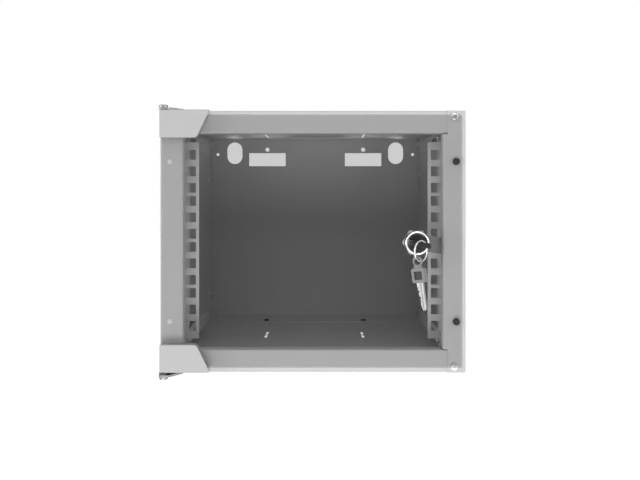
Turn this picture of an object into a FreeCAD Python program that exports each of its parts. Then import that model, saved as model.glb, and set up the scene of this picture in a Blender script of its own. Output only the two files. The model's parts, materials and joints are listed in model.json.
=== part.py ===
"""Wall mount network cabinet, four units high, for 10-inch equipment.

X runs to the right, Y from the front to the wall and Z up, in millimetres. The origin is the
middle of the rear face, so the cabinet lies at negative Y. Depths are counted from the wall
towards the front, as sketches on the XZ plane count them.
"""
import FreeCAD, Part
import Sketcher
import math
import os
import re

# Driving sizes, in millimetres and degrees
SIZES = {
    # carcass
    "cab_width": 280,
    "cab_height": 240,
    "cab_depth": 301,
    "sheet": 1.2,
    "bend": 0.5,
    "fit_gap": 0.1,
    "stile": 21,
    "stile_corner": 16.6,
    "corner_gap": 0.6,
    "front_flange": 20.8,
    "return_depth": 10.5,
    "rear_lip": 6.6,
    "rear_flange": 22.6,
    "side_flange": 13,
    # openings of the back panel and of the top panel's rear flange
    "wall_hole_edge": 75.4,
    "wall_hole_drop": 15.1,
    "wall_hole_dia": 5.5,
    "wall_notch_drop": 7.7,
    "entry_width": 49.2,
    "entry_height": 17.4,
    "entry_drop": 19.9,
    "oval_edge": 31.5,
    "oval_width": 20.4,
    "oval_length": 29.1,
    "oval_drop": 19.9,
    "relief_dia": 4,
    "relief_rise": 1,
    # knock-out cable entry in the ceiling and tie slots in the floor
    "blank_width": 127,
    "blank_length": 65,
    "blank_rear": 15,
    "slit": 3,
    "slit_rear": 6,
    "blank_tab": 5,
    "tie_slot_span": 111,
    "tie_slot_length": 16,
    "tie_slot_width": 3,
    "tie_slot_pitch": 18,
    "tie_slot_rear": 114.5,
    # back panel's foot and lugs
    "foot_length": 54,
    "foot_bevel": 12,
    "foot_screw_span": 124.6,
    "foot_screw_depth": 47,
    "lug_length": 36,
    "lug_height": 20,
    "lug_upper_drop": 50.5,
    "lug_lower_rise": 34,
    "lug_screw_depth": 26,
    # rack rails and their brackets
    "rack_hole_edge": 21.7375,
    "rail_margin": 7.7625,
    "rack_hole": 9.5,
    "rail_end_room": 25.25,
    "rail_drop": 1,
    "rail_sheet": 1.5,
    "rail_setback": 34.5,
    "rail_leg": 20,
    "rail_ear": 10,
    "rail_bolt_inset": 7,
    "bracket_web_edge": 15,
    "bracket_low_drop": 27.7,
    "bracket_step_drop": 12.7,
    "bracket_top_drop": 3,
    "bracket_setback": 36,
    "bracket_rear": 117,
    "bracket_slot": 60,
    # fasteners
    "screw_dia": 4,
    "screw_hole": 4.3,
    "screw_head": 7,
    "screw_head_height": 1.8,
    "nut_flats": 7,
    "nut_height": 3.2,
    "corner_screw_edge": 10.6,
    "corner_screw_drop": 5.5,
    "bracket_screw_rear": 24,
    "bracket_screw_front": 34,
    "panel_screw_front": 40,
    "panel_screw_rear": 12,
    "screw_short": 0.3,
    "bolt_dia": 5,
    "bolt_hole": 5.3,
    "bolt_head": 8.5,
    "bolt_head_height": 2.6,
    "bolt_nut_flats": 8,
    "bolt_nut_height": 4,
    # bumpers and plugs of the stiles
    "bumper_edge": 9,
    "bumper_drop": 46.8,
    "bumper_dia": 6.3,
    "plug_dia": 4.6,
    "plug_rise": 0.8,
    "stem_dia": 3,
    "stem_hole": 3.2,
    # door
    "glass_hinge_gap": 2,
    "glass_lock_gap": 4.4,
    "glass_end_gap": 5.2,
    "glass_thick": 4,
    "glass_gap": 4,
    "door_lift": 1,
    "clamp_gap": 1.4,
    "clamp_edge_play": 0.3,
    "clamp_width": 44.4,
    "clamp_height": 25.2,
    "clamp_slant": 11,
    "clamp_slant_start": 2.5,
    "clamp_web": 3.7,
    "clamp_leaf": 1.2,
    "clamp_corner": 5,
    "pad_thick": 0.6,
    "pad_inset": 3,
    "pad_end": 14,
    "grub_dia": 3,
    "grub_inset": 10,
    "grub_pitch": 16,
    "grub_rise": 1,
    # hinge
    "pin_edge": 4.6,
    "pin_side": 4.2,
    "pin_dia": 3.5,
    "pin_head": 8,
    "pin_head_height": 2.4,
    "bush_wall": 0.8,
    "bush_gap": 0.05,
    "hinge_plate": 2,
    "hinge_reach": 10,
    "hinge_hold": 24,
    "hinge_width": 20,
    "hinge_nose": 9,
    "hinge_screw_edge": 11.5,
    "hinge_screw_first": 10.5,
    "hinge_screw_pitch": 9,
    # lock
    "lock_edge": 46,
    "lock_z": -0.7,
    "lock_roll": 9,
    "bezel_dia": 22,
    "bezel_height": 3.6,
    "bezel_inner": 17.2,
    "lock_body_dia": 18,
    "lock_tail": 17.5,
    "lock_recess": 2.2,
    "plug_body_dia": 12.8,
    "plug_face": 1.2,
    "lock_nut_flats": 22,
    "lock_nut_height": 4,
    "gasket": 0.6,
    "cam_overlap": 7,
    "cam_width": 15,
    "cam_thick": 2,
    "cam_gap": 1.5,
    "cam_square": 6,
    "cam_boss": 0.6,
    # keys and ring
    "key_blade_width": 8,
    "key_blade_thick": 2.2,
    "key_neck": 3,
    "bow_width": 18.6,
    "bow_length": 20,
    "bow_thick": 4.4,
    "bow_web": 2.6,
    "bow_slot_width": 15,
    "bow_slot_length": 6.8,
    "ring_radius": 9,
    "ring_wire": 1.5,
    "ring_yaw": 44,
    "ring_rest": 0.6,
    "spare_place": 35,
    "spare_yaw": 42,
    "spare_tilt": 9,
    "spare_bow_width": 13,
    "spare_bow_height": 12.4,
    "spare_bow_thick": 4.5,
    "spare_bow_drop": 7.2,
    "spare_window_width": 8,
    "spare_window_height": 7.2,
    "spare_window_depth": 1,
    "spare_neck_thick": 3,
    "spare_eye": 6.4,
    "spare_eye_drop": 1.2,
    "spare_eye_wall": 1.5,
    "spare_eye_thick": 1.5,
    "spare_blade_width": 6.4,
    "spare_blade_tip": 3.2,
    "spare_blade_length": 24,
    "spare_blade_thick": 2,
}
# Sizes that follow from the ones above
FOLLOWING = {
    "corner_zone": "front_flange + corner_gap",
    "wall_hole_span": "cab_width - 2 * wall_hole_edge",
    "wall_hole_height": "cab_height / 2 - wall_hole_drop",
    "wall_notch_height": "cab_height / 2 - wall_notch_drop",
    "entry_top": "cab_height / 2 - entry_drop",
    "oval_span": "cab_width - 2 * oval_edge",
    "oval_height": "cab_height / 2 - oval_drop",
    "lug_upper": "cab_height / 2 - lug_upper_drop",
    "lug_lower": "lug_lower_rise - cab_height / 2",
    "rack_hole_span": "cab_width - 2 * rack_hole_edge",
    "rack_opening": "rack_hole_span - 2 * rail_margin",
    "rail_height": "cab_height - 2 * rail_end_room",
    "bracket_web_x": "cab_width / 2 - bracket_web_edge",
    "bracket_low": "cab_height / 2 - bracket_low_drop",
    "bracket_step": "cab_height / 2 - bracket_step_drop",
    "bracket_top": "cab_height / 2 - bracket_top_drop",
    "bracket_front": "cab_depth - bracket_setback",
    "corner_screw_x": "cab_width / 2 - corner_screw_edge",
    "corner_screw_z": "cab_height / 2 - corner_screw_drop",
    "bumper_x": "cab_width / 2 - bumper_edge",
    "bumper_z": "cab_height / 2 - bumper_drop",
    "glass_width": "cab_width - glass_hinge_gap - glass_lock_gap",
    "glass_height": "cab_height - 2 * glass_end_gap",
    "glass_right": "cab_width / 2 - glass_lock_gap",
    "clamp_left": "cab_width / 2 - clamp_gap",
    "pin_x": "cab_width / 2 - pin_edge",
    "hinge_screw_x": "cab_width / 2 - hinge_screw_edge",
    "lock_x": "cab_width / 2 - lock_edge",
    "cam_length": "lock_edge - stile + cam_overlap",
}
NAMES = {*SIZES, *FOLLOWING}
UNIT_PITCH = 44.45
HOLE_OFFSETS = (6.35, 22.225, 38.1)

doc = FreeCAD.newDocument("wall_cabinet")
sheet = doc.addObject("Spreadsheet::Sheet", "Size")
for row, (alias, value) in enumerate([*SIZES.items(), *FOLLOWING.items()], start=1):
    sheet.set("A%d" % row, alias)
    sheet.set("B%d" % row, f"={value}")
    sheet.setAlias("B%d" % row, alias)
doc.recompute()

# Places that several pieces share, as formulas of the sizes
INNER_X = "(cab_width / 2 - sheet)"
PANEL_X = "(cab_width / 2 - sheet - bend - fit_gap)"
HALF_Z = "(cab_height / 2)"
INNER_Z = "(cab_height / 2 - sheet)"
STILE_X = "(cab_width / 2 - stile)"
LIP_X = "(cab_width / 2 - rear_lip)"
FLANGE_DEPTH = "(cab_depth - sheet)"
BLANK_X = "(blank_width / 2)"
WALL_X = "(wall_hole_span / 2)"
OVAL_X = "(oval_span / 2)"
ENTRY_LOW = "(entry_top - entry_height)"
LEG_X = "(bracket_web_x - fit_gap)"
WALL_LEG_X = "(cab_width / 2 - 2 * sheet - bend - 2 * fit_gap)"
RAIL_DEPTH = "(cab_depth - rail_setback)"
RAIL_END = "(rail_height / 2)"
EAR_Z = "((bracket_low + bracket_step) / 2)"
EAR_DEPTH = "(cab_depth - rail_setback - rail_leg + rail_bolt_inset)"
GLASS_BACK = "(cab_depth + glass_gap)"
GLASS_FRONT = "(cab_depth + glass_gap + glass_thick)"
GLASS_LEFT = "(glass_right - glass_width)"
PIN_DEPTH = "(cab_depth + glass_gap + glass_thick / 2)"
CLAMP_BACK = "(cab_depth + glass_gap - pad_thick - clamp_leaf)"
CLAMP_FRONT = "(cab_depth + glass_gap + glass_thick + pad_thick + clamp_leaf)"
CLAMP_TOP = "(glass_height / 2 + clamp_edge_play + clamp_web)"
BUSH_RADIUS = "(pin_dia / 2 + bush_gap + bush_wall)"
CAM_REAR = "(cab_depth - return_depth - cam_gap - cam_thick)"
CAM_FRONT = "(cab_depth - return_depth - cam_gap)"
PLUG_FRONT = f"({GLASS_FRONT} + gasket + bezel_height - lock_recess + plug_face)"
BOW_REAR = f"({PLUG_FRONT} + key_neck)"
BOW_FRONT = f"({BOW_REAR} + bow_length)"
WEB_DEPTH = f"({BOW_FRONT} - bow_web / 2)"
RING_Z = "(lock_z + bow_thick / 2 + ring_rest + ring_wire / 2 - ring_radius)"

WORD = re.compile(r"[a-z][a-z_]+")
NODES = {}


def tied(text):
    """The formula with each size written as its cell."""
    return WORD.sub(lambda m: "Size." + m.group() if m.group() in NAMES else m.group(), str(text))


def number(text):
    """The formula's value now."""
    result = sheet.evalExpression(tied(text))
    return float(getattr(result, "Value", result))


def tie(item, prop, text):
    """Binds a property to a formula of the sizes."""
    item.setExpression(prop, tied(text))


def node(name, item):
    """Names a finished sub-part."""
    item.Label = name
    NODES[name] = item
    return item


# Sketching on a body's own planes
def new_body(name):
    return doc.addObject("PartDesign::Body", name)


def new_sketch(body, plane, height="0"):
    """A sketch on an origin plane, moved along the plane's normal."""
    sketch = body.newObject("Sketcher::SketchObject", body.Name + "_sketch")
    base = next(f for f in body.Origin.OriginFeatures if f.Role == plane + "_Plane")
    sketch.AttachmentSupport = [(base, "")]
    sketch.MapMode = "FlatFace"
    tie(sketch, "AttachmentOffset.Base.z", height)
    return sketch


def pin_point(sketch, edge, end, place):
    """Holds one point of a sketch at a pair of formulas."""
    for kind, text in zip(("DistanceX", "DistanceY"), place):
        index = sketch.addConstraint(Sketcher.Constraint(kind, -1, 1, edge, end, number(text)))
        tie(sketch, "Constraints[%d]" % index, text)


def draw_polygon(sketch, points):
    corners = [FreeCAD.Vector(number(u), number(v), 0) for u, v in points]
    lines = [Part.LineSegment(a, b) for a, b in zip(corners, corners[1:] + corners[:1])]
    edges = list(sketch.addGeometry(lines, False))
    for edge, follower in zip(edges, edges[1:] + edges[:1]):
        sketch.addConstraint(Sketcher.Constraint("Coincident", edge, 2, follower, 1))
    for edge, point in zip(edges, points):
        pin_point(sketch, edge, 1, point)


def draw_rectangle(sketch, low, high):
    draw_polygon(sketch, [low, (high[0], low[1]), high, (low[0], high[1])])


def draw_circle(sketch, centre, diameter):
    middle = FreeCAD.Vector(number(centre[0]), number(centre[1]), 0)
    circle = Part.Circle(middle, FreeCAD.Vector(0, 0, 1), number(diameter) / 2)
    edge = sketch.addGeometry(circle, False)
    pin_point(sketch, edge, 3, centre)
    index = sketch.addConstraint(Sketcher.Constraint("Diameter", edge, number(diameter)))
    tie(sketch, "Constraints[%d]" % index, diameter)


def draw_stadium(sketch, centre, width, length):
    """An upright slot with round ends."""
    radius = number(width) / 2
    reach = (number(length) - number(width)) / 2
    u, v = number(centre[0]), number(centre[1])
    axis = FreeCAD.Vector(0, 0, 1)

    def spot(across, up):
        return FreeCAD.Vector(u + across * radius, v + up * reach, 0)

    right = Part.LineSegment(spot(1, -1), spot(1, 1))
    left = Part.LineSegment(spot(-1, 1), spot(-1, -1))
    upper = Part.ArcOfCircle(Part.Circle(spot(0, 1), axis, radius), 0, math.pi)
    lower = Part.ArcOfCircle(Part.Circle(spot(0, -1), axis, radius), math.pi, 2 * math.pi)
    edges = list(sketch.addGeometry([right, upper, left, lower], False))
    for edge, follower in zip(edges, edges[1:] + edges[:1]):
        sketch.addConstraint(Sketcher.Constraint("Coincident", edge, 2, follower, 1))
    half = f"(({length}) - ({width})) / 2"
    for edge, across, up in zip(edges, (1, 1, -1, -1), (-1, 1, 1, -1)):
        corner = (f"{centre[0]} + {across} * ({width}) / 2", f"{centre[1]} + {up} * {half}")
        pin_point(sketch, edge, 1, corner)
    for edge, up in ((edges[1], 1), (edges[3], -1)):
        height = f"{centre[1]} + {up} * {half}"
        index = sketch.addConstraint(Sketcher.Constraint("DistanceY", -1, 1, edge, 3, number(height)))
        tie(sketch, "Constraints[%d]" % index, height)


# Features
def add_slab(body, plane, low, high, *drawings):
    """Pads the drawings between two heights along the plane's normal."""
    sketch = new_sketch(body, plane, low)
    for draw, *details in drawings:
        draw(sketch, *details)
    pad = body.newObject("PartDesign::Pad", body.Name + "_pad")
    pad.Profile = sketch
    tie(pad, "Length", f"({high}) - ({low})")
    doc.recompute()
    return pad


def cut_slab(body, plane, low, high, *drawings):
    """Pockets the drawings between two heights along the plane's normal."""
    before = body.Shape.Volume
    sketch = new_sketch(body, plane, high)
    for draw, *details in drawings:
        draw(sketch, *details)
    pocket = body.newObject("PartDesign::Pocket", body.Name + "_pocket")
    pocket.Profile = sketch
    tie(pocket, "Length", f"({high}) - ({low})")
    doc.recompute()
    if body.Shape.Volume >= before - 1e-6:
        raise RuntimeError("a pocket of %s cuts nothing" % body.Name)
    return pocket


def round_edges(body, radius, wanted, chamfer=False):
    """Fillets or chamfers the straight or round edges that a test picks."""
    tip = body.Tip
    names = ["Edge%d" % (i + 1) for i, edge in enumerate(tip.Shape.Edges) if wanted(edge)]
    if not names:
        raise RuntimeError("no edge of %s is picked" % body.Name)
    kind = "Chamfer" if chamfer else "Fillet"
    feature = body.newObject("PartDesign::" + kind, body.Name + "_" + kind.lower())
    feature.Base = (tip, names)
    tie(feature, "Size" if chamfer else "Radius", radius)
    doc.recompute()
    return feature


def at_corner(direction, first, second):
    """Tests for edges along one axis that pass through a point of the plane across it."""
    across = [axis for axis in "xyz" if axis != direction]
    places = [number(first), number(second)]

    def wanted(edge):
        ends = [vertex.Point for vertex in edge.Vertexes]
        if len(ends) != 2:
            return False
        return all(
            abs(getattr(end, axis) - place) < 1e-4 for end in ends for axis, place in zip(across, places)
        )

    return wanted


def revolve(body, profile):
    """Turns a half profile of radius and height about the body's Z axis."""
    sketch = new_sketch(body, "XZ")
    draw_polygon(sketch, profile)
    turned = body.newObject("PartDesign::Revolution", body.Name + "_turned")
    turned.Profile = sketch
    turned.ReferenceAxis = (sketch, ["V_Axis"])
    turned.Angle = 360
    doc.recompute()
    return turned


def place(item, x="0", y="0", z="0", turn=None):
    """Puts a piece at three formulas, turned so that its Z axis follows a direction."""
    if turn is not None:
        item.Placement = FreeCAD.Placement(FreeCAD.Vector(), turn)
    for axis, text in (("x", x), ("y", y), ("z", z)):
        tie(item, "Placement.Base." + axis, text)
    return item


TO_FRONT = FreeCAD.Rotation(FreeCAD.Vector(1, 0, 0), 90)
TO_TOP = FreeCAD.Rotation()
TO_BOTTOM = FreeCAD.Rotation(FreeCAD.Vector(1, 0, 0), 180)
TO_RIGHT = FreeCAD.Rotation(FreeCAD.Vector(0, 1, 0), 90)
TO_LEFT = FreeCAD.Rotation(FreeCAD.Vector(0, 1, 0), -90)


def gather(name, pieces):
    """One sub-part of several loose solids, such as a set of screws."""
    group = doc.addObject("Part::Compound", name)
    group.Links = pieces
    return node(name, group)


# Round fasteners, each along its own Z axis with the clamped face at height 0
def make_screw(name, grip, head="screw_head", head_height="screw_head_height", dia="screw_dia"):
    """A low head above height 0 and a shank that reaches down by the grip."""
    body = new_body(name)
    revolve(body, [
        ("0", f"-({grip})"),
        (f"{dia} / 2 - 0.4", f"-({grip})"),
        (f"{dia} / 2", f"-({grip}) + 0.4"),
        (f"{dia} / 2", "0"),
        (f"{head} / 2", "0"),
        (f"{head} / 2", f"{head_height} * 0.55"),
        (f"{head} / 2 - 1", head_height),
        ("0", head_height),
    ])
    return body


def make_nut(name, flats="nut_flats", height="nut_height", bore="screw_dia"):
    """A hexagon nut between height 0 and its own height."""
    body = new_body(name)
    sketch = new_sketch(body, "XY")
    corner = number(flats) / math.sqrt(3)
    points = []
    for step in range(6):
        angle = step * 60
        points.append((f"{flats} / sqrt(3) * cos({angle} deg)", f"{flats} / sqrt(3) * sin({angle} deg)"))
    draw_polygon(sketch, points)
    draw_circle(sketch, ("0", "0"), f"{bore} + 0.1")
    pad = body.newObject("PartDesign::Pad", name + "_pad")
    pad.Profile = sketch
    tie(pad, "Length", height)
    doc.recompute()
    round_edges(body, "0.4", lambda e: len(e.Vertexes) == 2 and abs(e.Length - corner) < 1e-4
                and e.Vertexes[0].Point.z > 0.01 and e.Vertexes[1].Point.z > 0.01, chamfer=True)
    return body


# Carcass
def side_screw_rows():
    """Places (Y, Z) of the screws through a side wall, upper row and lower row."""
    rows = []
    for up in (1, -1):
        height = f"{up} * (bracket_step + bracket_top) / 2"
        rows.append(("-bracket_rear - bracket_screw_rear", height))
        rows.append(("bracket_screw_front - bracket_front", height))
    return rows


def panel_screw_rows():
    """Places (Y, Z) of the screws that join a side wall to the top and bottom panel."""
    rows = []
    for up in (1, -1):
        height = f"{up} * (cab_height / 2 - side_flange / 2)"
        rows.append(("-lug_screw_depth - panel_screw_front", height))
        rows.append(("panel_screw_rear - lug_screw_depth", height))
    return rows


def lug_screw_rows():
    return [("-lug_screw_depth", "lug_upper"), ("-lug_screw_depth", "lug_lower")]


def make_side_panel(name, side):
    """A bent sheet: front stile with its return, outer wall and rear lip."""
    body = new_body(name)

    def at(text):
        return f"{side} * {text}"

    add_slab(body, "XY", f"-{HALF_Z}", HALF_Z, (draw_polygon, [
        (at("(cab_width / 2)"), "-sheet"),
        (at("(cab_width / 2)"), "-cab_depth"),
        (at(STILE_X), "-cab_depth"),
        (at(STILE_X), "-cab_depth + return_depth"),
        (at(f"({STILE_X} + sheet)"), "-cab_depth + return_depth"),
        (at(f"({STILE_X} + sheet)"), "-cab_depth + sheet"),
        (at(INNER_X), "-cab_depth + sheet"),
        (at(INNER_X), "-2 * sheet"),
        (at(LIP_X), "-2 * sheet"),
        (at(LIP_X), "-sheet"),
    ]))
    round_edges(body, "bend", at_corner("z", at(INNER_X), "-cab_depth + sheet"))
    round_edges(body, "bend", at_corner("z", at(f"({STILE_X} + sheet)"), "-cab_depth + sheet"))
    round_edges(body, "bend + sheet", at_corner("z", at("(cab_width / 2)"), "-cab_depth"))
    round_edges(body, "bend + sheet", at_corner("z", at(STILE_X), "-cab_depth"))
    corners = []
    for up in (1, -1):
        corners.append((draw_rectangle,
                        (at(f"({STILE_X} - 1)"), f"{up} * ({HALF_Z} - corner_zone)"),
                        (at("(cab_width / 2 - stile_corner)"), f"{up} * ({HALF_Z} + 1)")))
    cut_slab(body, "XZ", "cab_depth - return_depth - 1", "cab_depth + 1", *corners)
    notches = []
    for height in ("lug_upper", "lug_lower"):
        notches.append((draw_rectangle,
                        (at(f"({LIP_X} - 1)"), f"{height} - lug_height / 2 - 1"),
                        (at(INNER_X), f"{height} + lug_height / 2 + 1")))
    cut_slab(body, "XZ", "sheet / 2", "2 * sheet + 1", *notches)
    holes = []
    for up in (1, -1):
        holes.append((draw_circle, (at("corner_screw_x"), f"{up} * corner_screw_z"), "screw_hole"))
        holes.append((draw_circle, (at("bumper_x"), f"{up} * bumper_z"), "stem_hole"))
    cut_slab(body, "XZ", "cab_depth - 3 * sheet", "cab_depth + 1", *holes)
    places = side_screw_rows() + panel_screw_rows() + lug_screw_rows()
    walls = sorted([at("(cab_width / 2 + 1)"), at(f"({INNER_X} - 0.4)")], key=number)
    cut_slab(body, "YZ", walls[0], walls[1], *[(draw_circle, spot, "screw_hole") for spot in places])
    return node(name, body)


def make_floor_panel(name, up):
    """Top or bottom panel: front flange with its return, skin and side flanges."""
    body = new_body(name)

    def at(text):
        return f"{up} * {text}"

    front = f"-{FLANGE_DEPTH}"
    rear = "-sheet"
    outline = [
        (front, at(HALF_Z)),
        (front, at(f"({HALF_Z} - front_flange)")),
        (f"{front} + return_depth", at(f"({HALF_Z} - front_flange)")),
        (f"{front} + return_depth", at(f"({HALF_Z} - front_flange + sheet)")),
        (f"{front} + sheet", at(f"({HALF_Z} - front_flange + sheet)")),
        (f"{front} + sheet", at(INNER_Z)),
    ]
    if up > 0:
        outline += [
            ("-2 * sheet", at(INNER_Z)),
            ("-2 * sheet", at(f"({HALF_Z} - rear_flange)")),
            (rear, at(f"({HALF_Z} - rear_flange)")),
            (rear, at(HALF_Z)),
        ]
    else:
        outline += [(rear, at(INNER_Z)), (rear, at(HALF_Z))]
    add_slab(body, "YZ", f"-{PANEL_X}", PANEL_X, (draw_polygon, outline))
    round_edges(body, "bend", at_corner("x", f"{front} + sheet", at(INNER_Z)))
    round_edges(body, "bend", at_corner("x", f"{front} + sheet", at(f"({HALF_Z} - front_flange + sheet)")))
    round_edges(body, "bend + sheet", at_corner("x", front, at(HALF_Z)))
    round_edges(body, "bend + sheet", at_corner("x", front, at(f"({HALF_Z} - front_flange)")))
    for side in (1, -1):
        edges = sorted([f"{side} * ({PANEL_X} - sheet)", f"{side} * {PANEL_X}"], key=number)
        add_slab(body, "YZ", edges[0], edges[1], (
            draw_rectangle,
            (f"{front} + return_depth + 2", at(f"({HALF_Z} - side_flange)")),
            ("-2 * sheet - 1", at(f"({HALF_Z} - sheet / 2)")),
        ))
    # the stiles' returns and the rear lips of the side panels pass these corners
    front_ends = []
    for side in (1, -1):
        flange_low = f"{HALF_Z} - front_flange"
        front_ends.append((draw_rectangle,
                           (f"{side} * ({STILE_X} - 1)", at(f"({flange_low} - 1)")),
                           (f"{side} * ({PANEL_X} + 1)", at(f"({flange_low} + bend + sheet + 1)"))))
    cut_slab(body, "XZ", "cab_depth - return_depth - 4", f"{FLANGE_DEPTH} - sheet", *front_ends)
    rear_ends = []
    for side in (1, -1):
        rear_ends.append((draw_rectangle,
                          (f"{side} * ({LIP_X} - 0.3)", at(f"({HALF_Z} - rear_flange - 1)")),
                          (f"{side} * ({PANEL_X} + 1)", at(f"({HALF_Z} + 1)"))))
    cut_slab(body, "XZ", "0", "2 * sheet + fit_gap", *rear_ends)
    holes = []
    for side in (1, -1):
        holes.append((draw_circle, (f"{side} * corner_screw_x", at("corner_screw_z")), "screw_hole"))
    cut_slab(body, "XZ", f"{FLANGE_DEPTH} - 2 * sheet", f"{FLANGE_DEPTH} + 1", *holes)
    places = side_screw_rows() + panel_screw_rows()
    wanted = [spot for spot in places if number(spot[1]) * up > 0]
    for side in (1, -1):
        edges = sorted([f"{side} * ({PANEL_X} - 2 * sheet)", f"{side} * ({PANEL_X} + 1)"], key=number)
        cut_slab(body, "YZ", edges[0], edges[1], *[(draw_circle, spot, "screw_hole") for spot in wanted])
    skin = sorted([at(f"({INNER_Z} - 0.4)"), at(f"({HALF_Z} + 1)")], key=number)
    screws = [(draw_circle, spot, "screw_hole") for spot in hinge_screw_places()]
    cut_slab(body, "XY", skin[0], skin[1], *screws)
    return body, skin


def hinge_screw_places():
    first = "-cab_depth + hinge_screw_first"
    return [("-hinge_screw_x", first), ("-hinge_screw_x", f"{first} + hinge_screw_pitch")]


def make_top_panel():
    """The ceiling has a knock-out blank inside four slits, held by short tabs."""
    body, skin = make_floor_panel("top_panel", 1)
    rear = "-blank_rear"
    front = "-blank_rear - blank_length"
    slits = [(draw_polygon, [
        (f"-{BLANK_X}", f"{front} + blank_tab"),
        (f"-{BLANK_X}", rear),
        (BLANK_X, rear),
        (BLANK_X, f"{front} + blank_tab"),
        (f"{BLANK_X} - slit", f"{front} + blank_tab"),
        (f"{BLANK_X} - slit", f"{rear} - slit_rear"),
        (f"-{BLANK_X} + slit", f"{rear} - slit_rear"),
        (f"-{BLANK_X} + slit", f"{front} + blank_tab"),
    ])]
    for side in (1, -1):
        slits.append((draw_rectangle,
                      (f"{side} * blank_tab", front),
                      (f"{side} * ({BLANK_X} - blank_tab)", f"{front} + slit")))
    cut_slab(body, "XY", skin[0], skin[1], *slits)
    # the flange leaves the back panel's cable entries, wall holes and bend reliefs free
    flange_low = f"{HALF_Z} - rear_flange"
    openings = []
    for side in (1, -1):
        openings.append((draw_rectangle,
                         (f"{side} * ({WALL_X} - entry_width / 2)", f"{flange_low} - 1"),
                         (f"{side} * ({WALL_X} + entry_width / 2)", "wall_notch_height")))
        openings.append((draw_rectangle,
                         (f"{side} * ({LIP_X} - relief_dia - 0.5)", f"{flange_low} - 1"),
                         (f"{side} * ({LIP_X} + 1)", f"{flange_low} + relief_rise + relief_dia / 2 + 0.5")))
    cut_slab(body, "XZ", "sheet / 2", "3 * sheet", *openings)
    ovals = [(draw_stadium, (f"{side} * {OVAL_X}", "oval_height"), "oval_width", "oval_length")
             for side in (1, -1)]
    cut_slab(body, "XZ", "sheet / 2", "3 * sheet", *ovals)
    return node("top_panel", body)


def make_bottom_panel():
    """The floor has two pairs of short slots for ties and two screw holes."""
    body, skin = make_floor_panel("bottom_panel", -1)
    slots = []
    for side in (1, -1):
        for step in (0, 1):
            middle = f"{side} * tie_slot_span / 2"
            rear = f"-tie_slot_rear - {step} * tie_slot_pitch"
            slots.append((draw_rectangle,
                          (f"{middle} - tie_slot_width / 2", f"{rear} - tie_slot_length"),
                          (f"{middle} + tie_slot_width / 2", rear)))
        slots.append((draw_circle, (f"{side} * foot_screw_span / 2", "-foot_screw_depth"), "screw_hole"))
    cut_slab(body, "XY", skin[0], skin[1], *slots)
    return node("bottom_panel", body)


def make_back_panel():
    """A flat plate with a foot on the floor and four lugs on the side walls."""
    body = new_body("back_panel")
    add_slab(body, "XZ", "0", "sheet", (
        draw_rectangle, ("-cab_width / 2", f"-{HALF_Z}"), ("cab_width / 2", HALF_Z)))
    foot_x = f"({LIP_X} - 0.3)"
    add_slab(body, "XY", f"-{INNER_Z}", f"-{INNER_Z} + sheet", (draw_polygon, [
        (f"-{foot_x}", "-sheet / 2"),
        (foot_x, "-sheet / 2"),
        (foot_x, "-foot_length / 2"),
        (f"{foot_x} - foot_bevel", "-foot_length"),
        (f"-{foot_x} + foot_bevel", "-foot_length"),
        (f"-{foot_x}", "-foot_length / 2"),
    ]))
    for side in (1, -1):
        edges = sorted([f"{side} * ({INNER_X} - sheet)", f"{side} * {INNER_X}"], key=number)
        lugs = [(draw_rectangle,
                 ("-lug_length", f"{height} - lug_height / 2"),
                 ("-sheet / 2", f"{height} + lug_height / 2")) for height in ("lug_upper", "lug_lower")]
        add_slab(body, "YZ", edges[0], edges[1], *lugs)
        holes = [(draw_circle, spot, "screw_hole") for spot in lug_screw_rows()]
        cut_slab(body, "YZ", f"{edges[0]} - 1", f"{edges[1]} + 1", *holes)
    openings = []
    for side in (1, -1):
        openings += [
            (draw_rectangle,
             (f"{side} * ({WALL_X} - entry_width / 2)", ENTRY_LOW),
             (f"{side} * ({WALL_X} + entry_width / 2)", "entry_top")),
            (draw_stadium, (f"{side} * {OVAL_X}", "oval_height"), "oval_width", "oval_length"),
            (draw_circle, (f"{side} * {WALL_X}", "wall_hole_height"), "wall_hole_dia"),
            (draw_circle, (f"{side} * ({LIP_X} - relief_dia / 2)", f"{HALF_Z} - rear_flange + relief_rise"),
             "relief_dia"),
        ]
    cut_slab(body, "XZ", "-1", "sheet + 1", *openings)
    holes = [(draw_circle, (f"{side} * foot_screw_span / 2", "-foot_screw_depth"), "screw_hole")
             for side in (1, -1)]
    cut_slab(body, "XY", f"-{INNER_Z} - 0.5", f"-{INNER_Z} + sheet + 1", *holes)
    return node("back_panel", body)


def rack_hole_heights():
    """Heights of the square holes, from the top one down, for the units that the rail holds."""
    units = int(number("rail_height") // UNIT_PITCH)
    heights = []
    for unit in range(units):
        for offset in HOLE_OFFSETS:
            drop = unit * UNIT_PITCH + offset - units * UNIT_PITCH / 2
            heights.append(f"-rail_drop - ({drop})")
    return heights


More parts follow.
